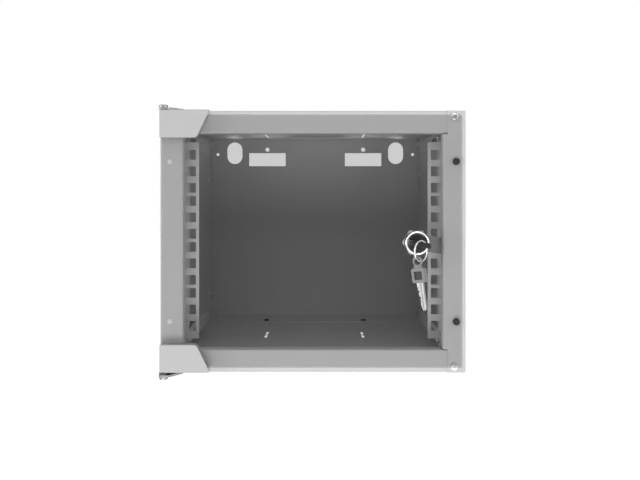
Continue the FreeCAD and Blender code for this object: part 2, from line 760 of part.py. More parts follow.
def make_rack_rail(name, side):
    """An angle with twelve square holes and an ear at each end of its leg."""
    body = new_body(name)
    front = f"-{RAIL_DEPTH}"
    low, high = f"-rail_drop - {RAIL_END}", f"-rail_drop + {RAIL_END}"
    add_slab(body, "XY", low, high, (draw_polygon, [
        (f"{side} * rack_opening / 2", front),
        (f"{side} * {LEG_X}", front),
        (f"{side} * {LEG_X}", f"{front} + rail_leg"),
        (f"{side} * ({LEG_X} - rail_sheet)", f"{front} + rail_leg"),
        (f"{side} * ({LEG_X} - rail_sheet)", f"{front} + rail_sheet"),
        (f"{side} * rack_opening / 2", f"{front} + rail_sheet"),
    ]))
    round_edges(body, "bend + rail_sheet", at_corner("z", f"{side} * {LEG_X}", front))
    ears = []
    for up in (1, -1):
        base = f"-rail_drop + {up} * ({RAIL_END} - 1)"
        tip = f"-rail_drop + {up} * ({RAIL_END} + rail_ear)"
        ears.append((draw_polygon, [
            (f"{front} + rail_sheet + bend", base),
            (f"{front} + rail_leg / 2", tip),
            (f"{front} + rail_leg", tip),
            (f"{front} + rail_leg", base),
        ]))
    leg = sorted([f"{side} * {LEG_X}", f"{side} * ({LEG_X} - rail_sheet)"], key=number)
    add_slab(body, "YZ", leg[0], leg[1], *ears)
    square_holes = []
    for height in rack_hole_heights():
        square_holes.append((draw_rectangle,
                             (f"{side} * rack_hole_span / 2 - rack_hole / 2", f"{height} - rack_hole / 2"),
                             (f"{side} * rack_hole_span / 2 + rack_hole / 2", f"{height} + rack_hole / 2")))
    cut_slab(body, "XZ", f"{RAIL_DEPTH} - rail_sheet - 0.01", f"{RAIL_DEPTH} + 1", *square_holes)
    holes = [(draw_circle, (f"-{EAR_DEPTH}", f"{up} * {EAR_Z}"), "bolt_hole") for up in (1, -1)]
    cut_slab(body, "YZ", f"{leg[0]} - 1", f"{leg[1]} + 1", *holes)
    return node(name, body)


def make_rail_bracket(name, side, up):
    """A stepped rail: slotted web for the rack rail, leg against the side wall."""
    body = new_body(name)
    web, leg = "bracket_web_x", WALL_LEG_X

    def spot(x, z):
        return (f"{side} * ({x})", f"{up} * ({z})")

    add_slab(body, "XZ", "bracket_rear", "bracket_front", (draw_polygon, [
        spot(web, "bracket_low"),
        spot(f"{web} + rail_sheet", "bracket_low"),
        spot(f"{web} + rail_sheet", "bracket_step - rail_sheet"),
        spot(leg, "bracket_step - rail_sheet"),
        spot(leg, "bracket_top"),
        spot(f"{leg} - rail_sheet", "bracket_top"),
        spot(f"{leg} - rail_sheet", "bracket_step"),
        spot(web, "bracket_step"),
    ]))
    round_edges(body, "bend + rail_sheet", at_corner("y", *spot(web, "bracket_step")))
    round_edges(body, "bend + rail_sheet", at_corner("y", *spot(leg, "bracket_step - rail_sheet")))
    wall = sorted([f"{side} * ({web} - 1)", f"{side} * ({web} + rail_sheet + 0.5)"], key=number)
    middle = f"{up} * {EAR_Z}"
    cut_slab(body, "YZ", wall[0], wall[1], (
        draw_rectangle,
        (f"-{EAR_DEPTH} - bolt_hole / 2", f"{middle} - bolt_hole / 2"),
        (f"-{EAR_DEPTH} + bracket_slot", f"{middle} + bolt_hole / 2")))
    wall = sorted([f"{side} * ({leg} + 1)", f"{side} * ({leg} - rail_sheet - 1)"], key=number)
    rows = [row for row in side_screw_rows() if number(row[1]) * up > 0]
    cut_slab(body, "YZ", wall[0], wall[1], *[(draw_circle, row, "screw_hole") for row in rows])
    return node(name, body)


def make_side_screws(name, rows, inner_x):
    """Screws from inside through a side wall, their ends just under its outer face."""
    screws = []
    for side, turn in ((1, TO_LEFT), (-1, TO_RIGHT)):
        for row in rows:
            screw = make_screw(name, f"cab_width / 2 - screw_short - {inner_x}")
            screws.append(place(screw, f"{side} * {inner_x}", row[0], row[1], turn))
    return gather(name, screws)


def make_carcass_fasteners():
    screws, nuts = [], []
    for side in (1, -1):
        for up in (1, -1):
            spot = (f"{side} * corner_screw_x", f"{up} * corner_screw_z")
            screw = make_screw("front_corner_screws", "2 * sheet + nut_height + 1")
            screws.append(place(screw, spot[0], "-cab_depth", spot[1], TO_FRONT))
            nut = make_nut("front_corner_nuts")
            nuts.append(place(nut, spot[0], f"-{FLANGE_DEPTH} + sheet + nut_height", spot[1], TO_FRONT))
    gather("front_corner_screws", screws)
    gather("front_corner_nuts", nuts)
    make_side_screws("rail_bracket_screws", side_screw_rows(), f"({WALL_LEG_X} - rail_sheet)")
    make_side_screws("panel_side_screws", panel_screw_rows(), f"({PANEL_X} - sheet)")
    make_side_screws("back_lug_screws", lug_screw_rows(), f"({INNER_X} - sheet)")
    screws = []
    for side in (1, -1):
        screw = make_screw("back_foot_screws", "2 * sheet - 0.2")
        screws.append(place(screw, f"{side} * foot_screw_span / 2", "-foot_screw_depth",
                            f"-{INNER_Z} + sheet", TO_TOP))
    gather("back_foot_screws", screws)
    bolts, nuts = [], []
    for side, turn in ((1, TO_LEFT), (-1, TO_RIGHT)):
        for up in (1, -1):
            head_x = f"{side} * ({LEG_X} - rail_sheet)"
            nut_x = f"{side} * (bracket_web_x + rail_sheet + bolt_nut_height)"
            bolt = make_screw("rail_bolts", "2 * rail_sheet + fit_gap + bolt_nut_height + 1",
                              "bolt_head", "bolt_head_height", "bolt_dia")
            bolts.append(place(bolt, head_x, f"-{EAR_DEPTH}", f"{up} * {EAR_Z}", turn))
            nut = make_nut("rail_nuts", "bolt_nut_flats", "bolt_nut_height", "bolt_dia")
            nuts.append(place(nut, nut_x, f"-{EAR_DEPTH}", f"{up} * {EAR_Z}", turn))
    gather("rail_bolts", bolts)
    gather("rail_nuts", nuts)


def make_stile_fittings():
    """Rubber bumpers on the right stile, light plugs in the left one."""
    bumpers, plugs = [], []
    for up in (1, -1):
        bumper = new_body("door_bumpers")
        revolve(bumper, [
            ("0", "-3"), ("stem_dia / 2", "-3"), ("stem_dia / 2", "0"), ("bumper_dia / 2", "0"),
            ("bumper_dia / 2", "glass_gap - 1"), ("bumper_dia / 2 - 0.7", "glass_gap - 0.25"),
            ("0", "glass_gap - 0.25"),
        ])
        bumpers.append(place(bumper, "bumper_x", "-cab_depth", f"{up} * bumper_z", TO_FRONT))
        plug = new_body("stile_plugs")
        revolve(plug, [
            ("0", "-3"), ("stem_dia / 2", "-3"), ("stem_dia / 2", "0"), ("plug_dia / 2", "0"),
            ("plug_dia / 2", "plug_rise / 2"), ("plug_dia / 2 - 0.6", "plug_rise"), ("0", "plug_rise"),
        ])
        plugs.append(place(plug, "-bumper_x", "-cab_depth", f"{up} * bumper_z", TO_FRONT))
    gather("door_bumpers", bumpers)
    gather("stile_plugs", plugs)


# Hinges
def make_hinge(name, up):
    """A flat bracket on the carcass, its pin and its screws."""
    plate = new_body(name + "_hinge_bracket")
    low, high = sorted([f"{up} * {HALF_Z}", f"{up} * ({HALF_Z} + hinge_plate)"], key=number)
    left = "-(pin_x + pin_side)"
    front = "-(cab_depth + hinge_reach)"
    add_slab(plate, "XY", low, high, (draw_polygon, [
        (left, front),
        (f"{left} + hinge_nose", front),
        (f"{left} + hinge_width", "-cab_depth + 4"),
        (f"{left} + hinge_width", "-cab_depth + hinge_hold"),
        (left, "-cab_depth + hinge_hold"),
    ]))
    round_edges(plate, "3", at_corner("z", f"{left} + hinge_nose", front))
    round_edges(plate, "3", at_corner("z", left, front))
    holes = [(draw_circle, spot, "screw_hole") for spot in hinge_screw_places()]
    holes.append((draw_circle, ("-pin_x", f"-{PIN_DEPTH}"), "pin_dia + 0.04"))
    cut_slab(plate, "XY", f"{low} - 1", f"{high} + 1", *holes)
    node(name + "_hinge_bracket", plate)

    pin = new_body(name + "_hinge_pin")
    reach = f"(hinge_plate + {HALF_Z} - {up} * door_lift - ({CLAMP_TOP} - clamp_web) - 0.4)"
    revolve(pin, [
        ("0", f"-{reach}"), ("pin_dia / 2 - 0.4", f"-{reach}"), ("pin_dia / 2", f"-{reach} + 0.4"),
        ("pin_dia / 2", "0"), ("pin_head / 2", "0"), ("pin_head / 2", "pin_head_height - 0.6"),
        ("pin_head / 2 - 0.6", "pin_head_height"), ("0", "pin_head_height"),
    ])
    turn = TO_TOP if up > 0 else TO_BOTTOM
    place(pin, "-pin_x", f"-{PIN_DEPTH}", f"{up} * ({HALF_Z} + hinge_plate)", turn)
    node(name + "_hinge_pin", pin)

    bush = new_body(name + "_hinge_bush")
    revolve(bush, [
        ("pin_dia / 2 + bush_gap", "0.1"), (BUSH_RADIUS, "0.1"),
        (BUSH_RADIUS, "clamp_web"), ("pin_dia / 2 + bush_gap", "clamp_web"),
    ])
    place(bush, "-pin_x", f"-{PIN_DEPTH}", f"door_lift + {up} * ({CLAMP_TOP} - clamp_web)", turn)
    node(name + "_hinge_bush", bush)
    return turn


def make_hinges():
    screws, nuts = [], []
    for name, up in (("upper", 1), ("lower", -1)):
        turn = make_hinge(name, up)
        for spot in hinge_screw_places():
            screw = make_screw("hinge_bracket_screws", "hinge_plate + sheet + nut_height + 1")
            screws.append(place(screw, spot[0], spot[1], f"{up} * ({HALF_Z} + hinge_plate)", turn))
            nut = make_nut("hinge_bracket_nuts")
            nuts.append(place(nut, spot[0], spot[1], f"{up} * ({INNER_Z} - nut_height)", turn))
    gather("hinge_bracket_screws", screws)
    gather("hinge_bracket_nuts", nuts)
    washer = new_body("lower_hinge_washer")
    gap = f"({HALF_Z} + door_lift - {CLAMP_TOP})"
    revolve(washer, [
        ("pin_dia / 2 + bush_gap", "0"), ("pin_head / 2", "0"),
        ("pin_head / 2", f"{gap} - 0.2"), ("pin_dia / 2 + bush_gap", f"{gap} - 0.2"),
    ])
    place(washer, "-pin_x", f"-{PIN_DEPTH}", f"-{HALF_Z}", TO_TOP)
    node("lower_hinge_washer", washer)


# Door
def make_glass_pane():
    body = new_body("glass_pane")
    half = "glass_height / 2"
    add_slab(body, "XZ", GLASS_BACK, GLASS_FRONT, (
        draw_rectangle, (GLASS_LEFT, f"door_lift - {half}"), ("glass_right", f"door_lift + {half}")))
    round_edges(body, "2", lambda e: len(e.Vertexes) == 2
                and abs(e.Vertexes[0].Point.x - e.Vertexes[1].Point.x) < 1e-4
                and abs(e.Vertexes[0].Point.z - e.Vertexes[1].Point.z) < 1e-4)
    cut_slab(body, "XZ", f"{GLASS_BACK} - 1", f"{GLASS_FRONT} + 1", (
        draw_circle, ("lock_x", "lock_z"), "lock_body_dia + 1"))
    return node("glass_pane", body)


def make_clamp(name, up):
    """A folded shell round the pane's corner: front leaf, web over the edge, inner leaf."""
    body = new_body(name)
    outer = f"({CLAMP_TOP})"

    def spot(x, z):
        return (x, f"door_lift + {up} * ({z})")

    right = "-(clamp_left - clamp_width)"
    add_slab(body, "XZ", CLAMP_BACK, CLAMP_FRONT, (draw_polygon, [
        spot("-clamp_left", outer),
        spot(right, outer),
        spot(right, f"{outer} - clamp_slant_start"),
        spot(f"{right} - clamp_slant", f"{outer} - clamp_height"),
        spot("-clamp_left", f"{outer} - clamp_height"),
    ]))
    rounded = spot(f"{right} - clamp_slant", f"{outer} - clamp_height")
    round_edges(body, "clamp_corner", at_corner("y", *rounded))
    round_edges(body, "1.2", at_corner("y", *spot("-clamp_left", outer)))
    front = number(f"-({CLAMP_FRONT})")
    round_edges(body, "0.5", lambda e: all(abs(v.Point.y - front) < 1e-4 for v in e.Vertexes), chamfer=True)
    cut_slab(body, "XZ", f"{GLASS_BACK} - pad_thick", f"{GLASS_FRONT} + pad_thick", (
        draw_rectangle, spot("-clamp_left - 1", f"{outer} - clamp_web"),
        spot(f"{right} + 1", f"{outer} - clamp_height - 1")))
    ends = sorted([f"door_lift + {up} * ({outer} - clamp_web - 1)", f"door_lift + {up} * ({outer} + 1)"],
                  key=number)
    cut_slab(body, "XY", ends[0], ends[1], (
        draw_circle, ("-pin_x", f"-{PIN_DEPTH}"), f"2 * {BUSH_RADIUS} + 0.02"))
    holes = [(draw_circle, spot(x, f"{outer} - clamp_height / 2 - grub_rise"), "grub_dia + 0.1")
             for x in grub_places()]
    cut_slab(body, "XZ", f"{CLAMP_BACK} - 1", f"{GLASS_BACK} - pad_thick + 0.5", *holes)
    return node(name, body)


def grub_places():
    return ["-(clamp_left - grub_inset)", "-(clamp_left - grub_inset - grub_pitch)"]


def make_clamp_fittings():
    """Soft pads on both faces of the glass and the grub screws that press the inner one."""
    pads, grubs = [], []
    for up in (1, -1):
        low = f"door_lift + {up} * ({CLAMP_TOP} - clamp_height + 2)"
        high = f"door_lift + {up} * ({CLAMP_TOP} - clamp_web - 1)"
        for depth in (f"{GLASS_BACK} - pad_thick", GLASS_FRONT):
            pad = new_body("clamp_pads")
            add_slab(pad, "XZ", depth, f"{depth} + pad_thick", (
                draw_rectangle, ("-clamp_left + pad_inset", low),
                ("-(clamp_left - clamp_width + pad_end)", high)))
            pads.append(pad)
        for x in grub_places():
            grub = new_body("clamp_grub_screws")
            revolve(grub, [("0", "0"), ("grub_dia / 2 - 0.2", "0"), ("grub_dia / 2", "0.2"),
                           ("grub_dia / 2", "clamp_leaf"), ("0", "clamp_leaf")])
            height = f"door_lift + {up} * ({CLAMP_TOP} - clamp_height / 2 - grub_rise)"
            grubs.append(place(grub, x, f"-({CLAMP_BACK})", height, TO_FRONT))
    gather("clamp_pads", pads)
    gather("clamp_grub_screws", grubs)


# Lock, turned on the lock's own axis
def at_lock(item, depth="0", roll=True):
    """Puts a piece on the lock's axis, turned as the photographed lock is."""
    turn = TO_FRONT
    if roll:
        turn = FreeCAD.Rotation(FreeCAD.Vector(0, 1, 0), number("lock_roll")).multiply(TO_FRONT)
    return place(item, "lock_x", f"-({depth})", "lock_z", turn)


def make_lock_housing():
    """Chrome bezel and threaded barrel in one piece, bored for the plug."""
    body = new_body("lock_housing")
    bezel_rear = f"({GLASS_FRONT} + gasket)"
    bezel_front = f"({bezel_rear} + bezel_height)"
    bore = "plug_body_dia / 2 + 0.1"
    tail = "(cab_depth + glass_gap - lock_tail + lock_nut_height)"
    revolve(body, [
        (bore, tail), ("lock_body_dia / 2", tail), ("lock_body_dia / 2", bezel_rear),
        ("bezel_dia / 2", bezel_rear), ("bezel_dia / 2", f"{bezel_front} - 1.6"),
        ("bezel_dia / 2 - 0.9", bezel_front), ("bezel_inner / 2", bezel_front),
        ("bezel_inner / 2", f"{bezel_front} - lock_recess"), (bore, f"{bezel_front} - lock_recess"),
    ])
    at_lock(body, roll=False)
    node("lock_housing", body)

    for name, depth in (("lock_front_gasket", GLASS_FRONT), ("lock_rear_gasket", f"{GLASS_BACK} - gasket")):
        ring = new_body(name)
        revolve(ring, [("lock_body_dia / 2 + 0.1", "0"), ("bezel_dia / 2 - 0.3", "0"),
                       ("bezel_dia / 2 - 0.3", "gasket"), ("lock_body_dia / 2 + 0.1", "gasket")])
        at_lock(ring, depth, roll=False)
        node(name, ring)

    nut = make_nut("lock_nut", "lock_nut_flats", "lock_nut_height", "lock_body_dia")
    at_lock(nut, f"{GLASS_BACK} - gasket - lock_nut_height", roll=False)
    node("lock_nut", nut)


def make_lock_core():
    """Plug with keyway, cam on its square tang, washer and screw."""
    plug = new_body("lock_plug")
    seat = f"({GLASS_FRONT} + gasket + bezel_height - lock_recess)"
    body_radius = "plug_body_dia / 2"
    revolve(plug, [
        ("0", CAM_FRONT), (body_radius, CAM_FRONT), (body_radius, f"{seat} + 0.05"),
        ("bezel_inner / 2 - 0.1", f"{seat} + 0.05"), ("bezel_inner / 2 - 0.1", f"{PLUG_FRONT} - 0.3"),
        ("bezel_inner / 2 - 0.4", PLUG_FRONT), ("0", PLUG_FRONT),
    ])
    half = "cam_square / 2"
    add_slab(plug, "XY", f"{CAM_REAR} - cam_boss", f"{CAM_FRONT} + 0.5", (
        draw_rectangle, (f"-{half}", f"-{half}"), (half, half)))
    cut_slab(plug, "XY", f"{CAM_FRONT} + 6", f"{PLUG_FRONT} + 1", (
        draw_rectangle, ("-key_blade_width / 2 - 0.05", "-key_blade_thick / 2 - 0.05"),
        ("key_blade_width / 2 + 0.05", "key_blade_thick / 2 + 0.05")))
    cut_slab(plug, "XY", f"{CAM_REAR} - cam_boss - 1", f"{CAM_FRONT} + 3.5", (
        draw_circle, ("0", "0"), "screw_dia + 0.1"))
    at_lock(plug)
    node("lock_plug", plug)

    cam = new_body("lock_cam")
    add_slab(cam, "XY", CAM_REAR, CAM_FRONT, (draw_polygon, [
        ("-cam_width / 2", "-cam_width / 2"), ("cam_length", "-cam_width / 2"),
        ("cam_length", "cam_width / 2"), ("-cam_width / 2", "cam_width / 2")]))
    pivot = number("-cam_width / 2")
    round_edges(cam, "cam_width / 2 - 0.5", lambda e: len(e.Vertexes) == 2 and all(
        abs(v.Point.x - pivot) < 1e-4 for v in e.Vertexes) and abs(e.Length - number("cam_thick")) < 1e-4)
    tip = number("cam_length")
    round_edges(cam, "2", lambda e: len(e.Vertexes) == 2 and all(
        abs(v.Point.x - tip) < 1e-4 for v in e.Vertexes) and abs(e.Length - number("cam_thick")) < 1e-4)
    cut_slab(cam, "XY", f"{CAM_REAR} - 1", f"{CAM_FRONT} + 1", (
        draw_rectangle, (f"-{half} - 0.05", f"-{half} - 0.05"), (f"{half} + 0.05", f"{half} + 0.05")))
    at_lock(cam)
    node("lock_cam", cam)

    washer = new_body("cam_washer")
    revolve(washer, [("screw_dia / 2 + 0.05", "0"), ("screw_head / 2 + 1", "0"),
                     ("screw_head / 2 + 1", "1"), ("screw_dia / 2 + 0.05", "1")])
    at_lock(washer, f"{CAM_REAR} - cam_boss - 1")
    node("cam_washer", washer)

    screw = make_screw("cam_screw", "1 + cam_boss + cam_thick + 3")
    place(screw, "lock_x", f"-({CAM_REAR} - cam_boss - 1)", "lock_z",
          FreeCAD.Rotation(FreeCAD.Vector(1, 0, 0), -90))
    node("cam_screw", screw)


def make_inserted_key():
    """Flat blade in the keyway and a moulded bow, slotted for the ring."""
    blade = new_body("inserted_key_blade")
    half, thin = "key_blade_width / 2", "key_blade_thick / 2"
    add_slab(blade, "XY", f"{CAM_FRONT} + 6.2", f"{BOW_REAR} + 5", (
        draw_rectangle, (f"-{half}", f"-{thin}"), (half, thin)))
    at_lock(blade)
    node("inserted_key_blade", blade)

    bow = new_body("inserted_key_bow")
    side = "bow_width / 2"
    add_slab(bow, "XZ", "-bow_thick / 2", "bow_thick / 2", (draw_polygon, [
        (f"-{side} + 4", BOW_REAR), (f"{side} - 4", BOW_REAR), (side, f"{BOW_REAR} + 4"),
        (side, BOW_FRONT), (f"-{side}", BOW_FRONT), (f"-{side}", f"{BOW_REAR} + 4")]))
    tip = number(BOW_FRONT)
    round_edges(bow, "2.5", lambda e: len(e.Vertexes) == 2 and all(
        abs(v.Point.z - tip) < 1e-4 for v in e.Vertexes) and abs(e.Length - number("bow_thick")) < 1e-4)
    cut_slab(bow, "XZ", "-bow_thick", "bow_thick", (
        draw_rectangle, ("-bow_slot_width / 2", f"{BOW_FRONT} - bow_web - bow_slot_length"),
        ("bow_slot_width / 2", f"{BOW_FRONT} - bow_web")))
    round_edges(bow, "1", lambda e: all(v.Point.z > tip - number("bow_web") - 1e-4 for v in e.Vertexes)
                and abs(abs(e.Vertexes[0].Point.y) - number("bow_thick / 2")) < 1e-4
                and abs(e.Vertexes[0].Point.y - e.Vertexes[-1].Point.y) < 1e-4)
    cut_slab(bow, "XY", f"{BOW_REAR} - 1", f"{BOW_REAR} + 5.05", (
        draw_rectangle, (f"-{half} - 0.03", f"-{thin} - 0.03"), (f"{half} + 0.03", f"{thin} + 0.03")))
    at_lock(bow)
    node("inserted_key_bow", bow)


def ring_along():
    """Level direction in the ring's plane, towards the wall and the right."""
    yaw = math.radians(number("ring_yaw"))
    return FreeCAD.Vector(math.sin(yaw), math.cos(yaw), 0)


def make_key_ring():
    ring = doc.addObject("Part::Torus", "key_ring")
    tie(ring, "Radius1", "ring_radius")
    tie(ring, "Radius2", "ring_wire / 2")
    across = ring_along().cross(FreeCAD.Vector(0, 0, 1))
    place(ring, "lock_x", f"-{WEB_DEPTH}", RING_Z, FreeCAD.Rotation(FreeCAD.Vector(0, 0, 1), across))
    node("key_ring", ring)


def spare_key_seat():
    """Where the spare key's eye hangs on the ring's wire."""
    turn = math.radians(number("spare_place"))
    centre = FreeCAD.Vector(number("lock_x"), -number(WEB_DEPTH), number(RING_Z))
    radius = number("ring_radius")
    return centre - ring_along() * (radius * math.sin(turn)) - FreeCAD.Vector(0, 0, radius * math.cos(turn))


def spare_key_placement():
    """Local Z runs up the key and local Y through its eye."""
    yaw = FreeCAD.Rotation(FreeCAD.Vector(0, 0, 1), -number("spare_yaw"))
    tilt = FreeCAD.Rotation(FreeCAD.Vector(0, 1, 0), -number("spare_tilt"))
    return FreeCAD.Placement(spare_key_seat(), yaw.multiply(tilt))


def make_spare_key():
    """Square moulded bow with a window and a hanging eye, tapered blade below."""
    bow = new_body("spare_key_bow")
    half, thin = "spare_bow_width / 2", "spare_bow_thick / 2"
    eye, eye_thin, neck_thin = "-spare_eye_drop", "spare_eye_thick / 2", "spare_neck_thick / 2"
    top = "-spare_bow_drop"
    bottom = "(-spare_bow_drop - spare_bow_height)"
    add_slab(bow, "XZ", f"-{thin}", thin, (draw_rectangle, (f"-{half}", bottom), (half, top)))
    round_edges(bow, "1.5", lambda e: len(e.Vertexes) == 2
                and abs(e.Length - number("spare_bow_thick")) < 1e-4
                and abs(e.Vertexes[0].Point.x - e.Vertexes[1].Point.x) < 1e-4
                and abs(abs(e.Vertexes[0].Point.x) - number(half)) < 1e-4)
    neck_top = f"{eye} - spare_eye / 2 - 0.4"
    add_slab(bow, "XZ", f"-{neck_thin}", neck_thin, (draw_polygon, [
        (f"-{half} + 2", f"{top} - 0.5"), (f"{half} - 2", f"{top} - 0.5"),
        ("spare_eye / 2", neck_top), ("-spare_eye / 2", neck_top)]))
    add_slab(bow, "XZ", f"-{eye_thin}", eye_thin, (
        draw_circle, ("0", eye), "spare_eye + 2 * spare_eye_wall"))
    cut_slab(bow, "XZ", f"-{thin} - 1", f"{thin} + 1", (draw_circle, ("0", eye), "spare_eye"))
    middle = f"({top} - spare_bow_height / 2)"
    for low, high in ((f"{thin} - spare_window_depth", f"{thin} + 1"),
                      (f"-{thin} - 1", f"-{thin} + spare_window_depth")):
        cut_slab(bow, "XZ", low, high, (
            draw_rectangle, ("-spare_window_width / 2", f"{middle} - spare_window_height / 2"),
            ("spare_window_width / 2", f"{middle} + spare_window_height / 2")))
    cut_slab(bow, "XY", f"{bottom} - 1", f"{bottom} + 3", (
        draw_rectangle, ("-spare_blade_width / 2", "-spare_blade_thick / 2"),
        ("spare_blade_width / 2", "spare_blade_thick / 2")))
    bow.Placement = spare_key_placement()
    node("spare_key_bow", bow)

    blade = new_body("spare_key_blade")
    wide = "spare_blade_width / 2"
    end = f"({bottom} - spare_blade_length)"
    add_slab(blade, "XZ", "-spare_blade_thick / 2", "spare_blade_thick / 2", (draw_polygon, [
        (f"-{wide}", f"{bottom} + 3"), (wide, f"{bottom} + 3"), (wide, f"{bottom} - 2"),
        (wide, f"{end} + 2"), (f"{wide} - 1.5", end), (f"{wide} - spare_blade_tip", end),
        (f"-{wide} + 1.6", f"{end} + 8"), (f"-{wide}", f"{bottom} - 6")]))
    blade.Placement = spare_key_placement()
    node("spare_key_blade", blade)


def build():
    make_top_panel()
    make_bottom_panel()
    make_side_panel("left_side_panel", -1)
    make_side_panel("right_side_panel", 1)
    make_back_panel()
    for side_name, side in (("left", -1), ("right", 1)):
        make_rack_rail(side_name + "_rack_rail", side)
        for up_name, up in (("upper", 1), ("lower", -1)):
            make_rail_bracket(f"{side_name}_{up_name}_rail_bracket", side, up)
    make_carcass_fasteners()
    make_stile_fittings()
    make_hinges()
    make_glass_pane()
    make_clamp("upper_clamp", 1)
    make_clamp("lower_clamp", -1)
    make_clamp_fittings()
    make_lock_housing()
    make_lock_core()
    make_inserted_key()
    make_key_ring()
    make_spare_key()


def check():
    """Stops on any failed feature and on any sub-part without a sound shape."""
    doc.recompute()
    for item in doc.Objects:
        if {"Invalid", "Error"} & set(item.State):
            raise RuntimeError("failed: %s %s" % (item.Name, item.State))
    for name, item in NODES.items():
        shape = item.Shape
        if shape.isNull() or not shape.isValid() or not shape.Solids:
            raise RuntimeError("no sound shape: " + name)


def write():
    os.makedirs("parts", exist_ok=True)
    for name, item in NODES.items():
        item.Shape.exportStep("parts/%s.step" % name)
    print(len(NODES), "sub-parts written")


build()
check()
write()
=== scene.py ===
import json
import math

import bmesh
import bpy
from mathutils import Matrix, Vector


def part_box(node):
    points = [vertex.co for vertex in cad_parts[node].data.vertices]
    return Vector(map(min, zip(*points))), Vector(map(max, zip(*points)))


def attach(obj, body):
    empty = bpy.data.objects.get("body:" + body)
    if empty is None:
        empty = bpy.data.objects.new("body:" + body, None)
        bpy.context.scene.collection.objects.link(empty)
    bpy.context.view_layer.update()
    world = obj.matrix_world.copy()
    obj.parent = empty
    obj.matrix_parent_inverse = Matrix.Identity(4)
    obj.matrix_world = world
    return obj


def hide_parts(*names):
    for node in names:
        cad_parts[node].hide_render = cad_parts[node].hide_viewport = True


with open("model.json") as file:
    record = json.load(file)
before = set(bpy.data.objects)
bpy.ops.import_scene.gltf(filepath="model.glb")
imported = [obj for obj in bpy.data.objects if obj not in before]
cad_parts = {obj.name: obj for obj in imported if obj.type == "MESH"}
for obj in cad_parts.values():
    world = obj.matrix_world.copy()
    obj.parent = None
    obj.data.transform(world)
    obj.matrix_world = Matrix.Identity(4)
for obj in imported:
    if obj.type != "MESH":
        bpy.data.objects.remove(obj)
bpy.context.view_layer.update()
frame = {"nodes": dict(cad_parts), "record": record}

# Metres per millimetre: rows, outlines and fastener sizes are typed in millimetres, and scaled at
# their vertices
MM = 0.001
NODES = frame["nodes"]
RECORD = frame["record"]
SLOT_OF = {entry["node"]: entry["material_slot"] for entry in RECORD["subparts"]}
BODY_OF = {node: body for body, nodes in RECORD["behaviour"]["bodies"].items() for node in nodes}
JOINTS = {joint["name"]: joint for joint in RECORD["behaviour"]["joints"]}


# Small helpers for node trees
def feed(tree, socket, value):
    """Links an input to a socket, or sets its value."""
    if isinstance(value, bpy.types.NodeSocket):
        tree.links.new(value, socket)
    else:
        socket.default_value = value


def new_group(name, inputs, outputs, tree_kind="ShaderNodeTree"):
    """A node group with named inputs, (name, kind, default) each, and named outputs."""
    group = bpy.data.node_groups.new(name, tree_kind)
    for label, kind, value in inputs:
        socket = group.interface.new_socket(label, in_out="INPUT", socket_type="NodeSocket" + kind)
        if value is not None:
            socket.default_value = value
    for label, kind in outputs:
        group.interface.new_socket(label, in_out="OUTPUT", socket_type="NodeSocket" + kind)
    enter = group.nodes.new("NodeGroupInput")
    leave = group.nodes.new("NodeGroupOutput")
    return group, enter.outputs, leave.inputs


def give(group, result, **outputs):
    """Links sockets to the group's outputs."""
    for label, socket in outputs.items():
        group.links.new(socket, result[label])


def add_node(tree, kind, inputs=None, **settings):
    """A node with its settings, and with values or links on its inputs."""
    made = tree.nodes.new(kind)
    for key, value in settings.items():
        setattr(made, key, value)
    for key, value in (inputs or {}).items():
        feed(tree, made.inputs[key], value)
    return made


def math_node(tree, operation, *values):
    return add_node(tree, "ShaderNodeMath", dict(enumerate(values)), operation=operation).outputs[0]


def times(tree, first, second):
    return math_node(tree, "MULTIPLY", first, second)


def plus(tree, first, second):
    return math_node(tree, "ADD", first, second)


def around(tree, value, middle, amount):
    """How far a value lies from its middle, times an amount."""
    return times(tree, math_node(tree, "SUBTRACT", value, middle), amount)


def blend(tree, coarse, fine):
    """Mostly the coarse pattern, with some of the fine one."""
    return plus(tree, times(tree, coarse, 0.6), times(tree, fine, 0.4))


def map_range(tree, value, low, high, start=0.0, end=1.0, **settings):
    return add_node(tree, "ShaderNodeMapRange", {
        "Value": value, "From Min": low, "From Max": high, "To Min": start, "To Max": end},
        **settings).outputs[0]


def noise(tree, place, scale, detail=2.0, roughness=0.5):
    inputs = {"Vector": place, "Scale": scale, "Detail": detail, "Roughness": roughness}
    return add_node(tree, "ShaderNodeTexNoise", inputs).outputs["Fac"]


def mix_colour(tree, factor, first, second):
    made = add_node(tree, "ShaderNodeMix", {0: factor, 6: first, 7: second}, data_type="RGBA")
    return made.outputs[2]


def scaled_colour(tree, colour, factor):
    """A colour made lighter or darker by a factor."""
    made = add_node(tree, "ShaderNodeVectorMath", {0: colour, "Scale": factor}, operation="SCALE")
    return made.outputs[0]


def seen_rays(tree):
    """One for what the eye sees, plainly, through the pane or in a mirror; zero for the rest."""
    path = add_node(tree, "ShaderNodeLightPath").outputs
    seen = math_node(tree, "MAXIMUM", path["Is Camera Ray"], path["Is Transmission Ray"])
    return math_node(tree, "MAXIMUM", seen, path["Is Glossy Ray"])


